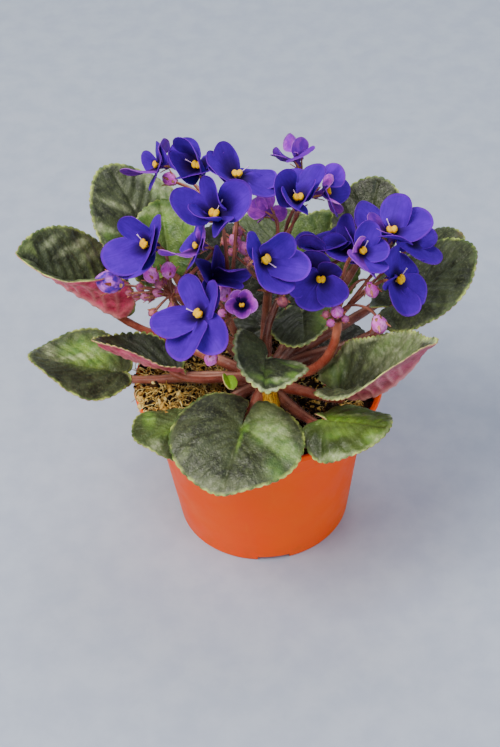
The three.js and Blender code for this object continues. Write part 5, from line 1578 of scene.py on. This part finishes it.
def hairTree():
    tree, given = newTree("softHairs", {"Density": "Float", "Length": "Float", "Width": "Float", "Tilt": "Float",
                                        "Seed": "Int", "Material": "Material"})
    hairy = inUse(put(tree, "GeometryNodeInputNamedAttribute", {"Name": "hairy"}, data_type="FLOAT").outputs,
                  "Attribute")
    dots = scattered(tree, given, maths(tree, "MULTIPLY", given["Density"], hairy))
    spike = put(tree, "GeometryNodeMeshCone", {"Vertices": 3, "Radius Top": 0.0, "Radius Bottom": given["Width"],
                                               "Depth": given["Length"]}).outputs[0]
    stray = vectorMaths(tree, "SCALE", randomVector(tree, (-1, -1, -1), (1, 1, 1)), given["Tilt"], "Scale")
    aim = vectorMaths(tree, "ADD", dots["Normal"], stray)
    turn = put(tree, "FunctionNodeAlignRotationToVector", {"Vector": aim}, axis="Z").outputs[0]
    copies = put(tree, "GeometryNodeInstanceOnPoints", {
        "Points": dots[0], "Instance": spike, "Rotation": turn,
        "Scale": randomVector(tree, (0.8, 0.8, 0.4), (1.1, 1.1, 1.25), 2)}).outputs[0]
    closeTree(tree, copies, given["Material"])
    return tree


softHairs = hairTree()


def growHairs(obj, kind, seed, slotName):
    look = hairs[kind]
    name = obj.name + "Hairs"
    mesh = runTree(softHairs, obj.data, name, {
        "Density": look["density"] / (mm * mm), "Length": look["length"] * mm, "Width": look["width"] / 2 * mm,
        "Tilt": look["tilt"], "Seed": seed, "Material": finishes[kind + "Hair"]})
    showPiece(name, mesh, kind + "Hair", slotName)
    return len(mesh.polygons)


def coverWithHairs():
    total = sum(growHairs(blade, "leaf", seed, "leaf") for seed, blade in enumerate(leafPieces.values()))
    total += growHairs(petioles, "stem", 40, "petiole")
    for seed, (stalks, sepals) in enumerate(sprayPieces):
        total += growHairs(stalks, "stem", 60 + seed, "flower_stalk")
        total += growHairs(sepals, "sepal", 80 + seed, "flower_stalk")
    return total


print("hairs grown, faces:", coverWithHairs())


# Floor and light: a plain pale floor under soft studio light. Places and sizes here are metres.
studio = {"floor": 3.0, "sky": "#e9edf4", "skyPower": 0.3, "aim": (0, 0, 0.12)}
lamps = (
    ("keyLight", (-0.7, -0.4, 1.3), 1.0, 31.0, "#fff8ee"),
    ("fillLight", (0.9, -0.6, 0.8), 0.9, 5.5, "#e6efff"),
    ("frontLight", (0.1, -1.35, 0.6), 0.9, 5.0, "#fff4ea"),
    ("topLight", (0.15, 0.7, 1.3), 0.8, 9.0, "#ffffff"),
)


def buildStudio():
    half = studio["floor"] / 2 / mm
    store = Store()
    store.add([(-half, -half, 0), (half, -half, 0), (half, half, 0), (-half, half, 0)], [(0, 1, 2, 3)])
    showMesh("studioFloor", meshOf("studioFloor", store), finishes["floor"])
    world = bpy.data.worlds.new("studioSky")
    world.use_nodes = True
    scene.world = world
    backdrop = world.node_tree.nodes["Background"]
    backdrop.inputs[0].default_value = shade(studio["sky"])
    backdrop.inputs[1].default_value = studio["skyPower"]
    for name, place, size, power, colour in lamps:
        data = bpy.data.lights.new(name, "AREA")
        data.shape = "DISK"
        data.size = size
        data.energy = power
        data.color = shade(colour)[:3]
        lamp = bpy.data.objects.new(name, data)
        lamp.location = place
        lamp.rotation_euler = (Vector(studio["aim"]) - Vector(place)).to_track_quat("-Z", "Y").to_euler()
        scene.collection.objects.link(lamp)


buildStudio()
print("studio lit")
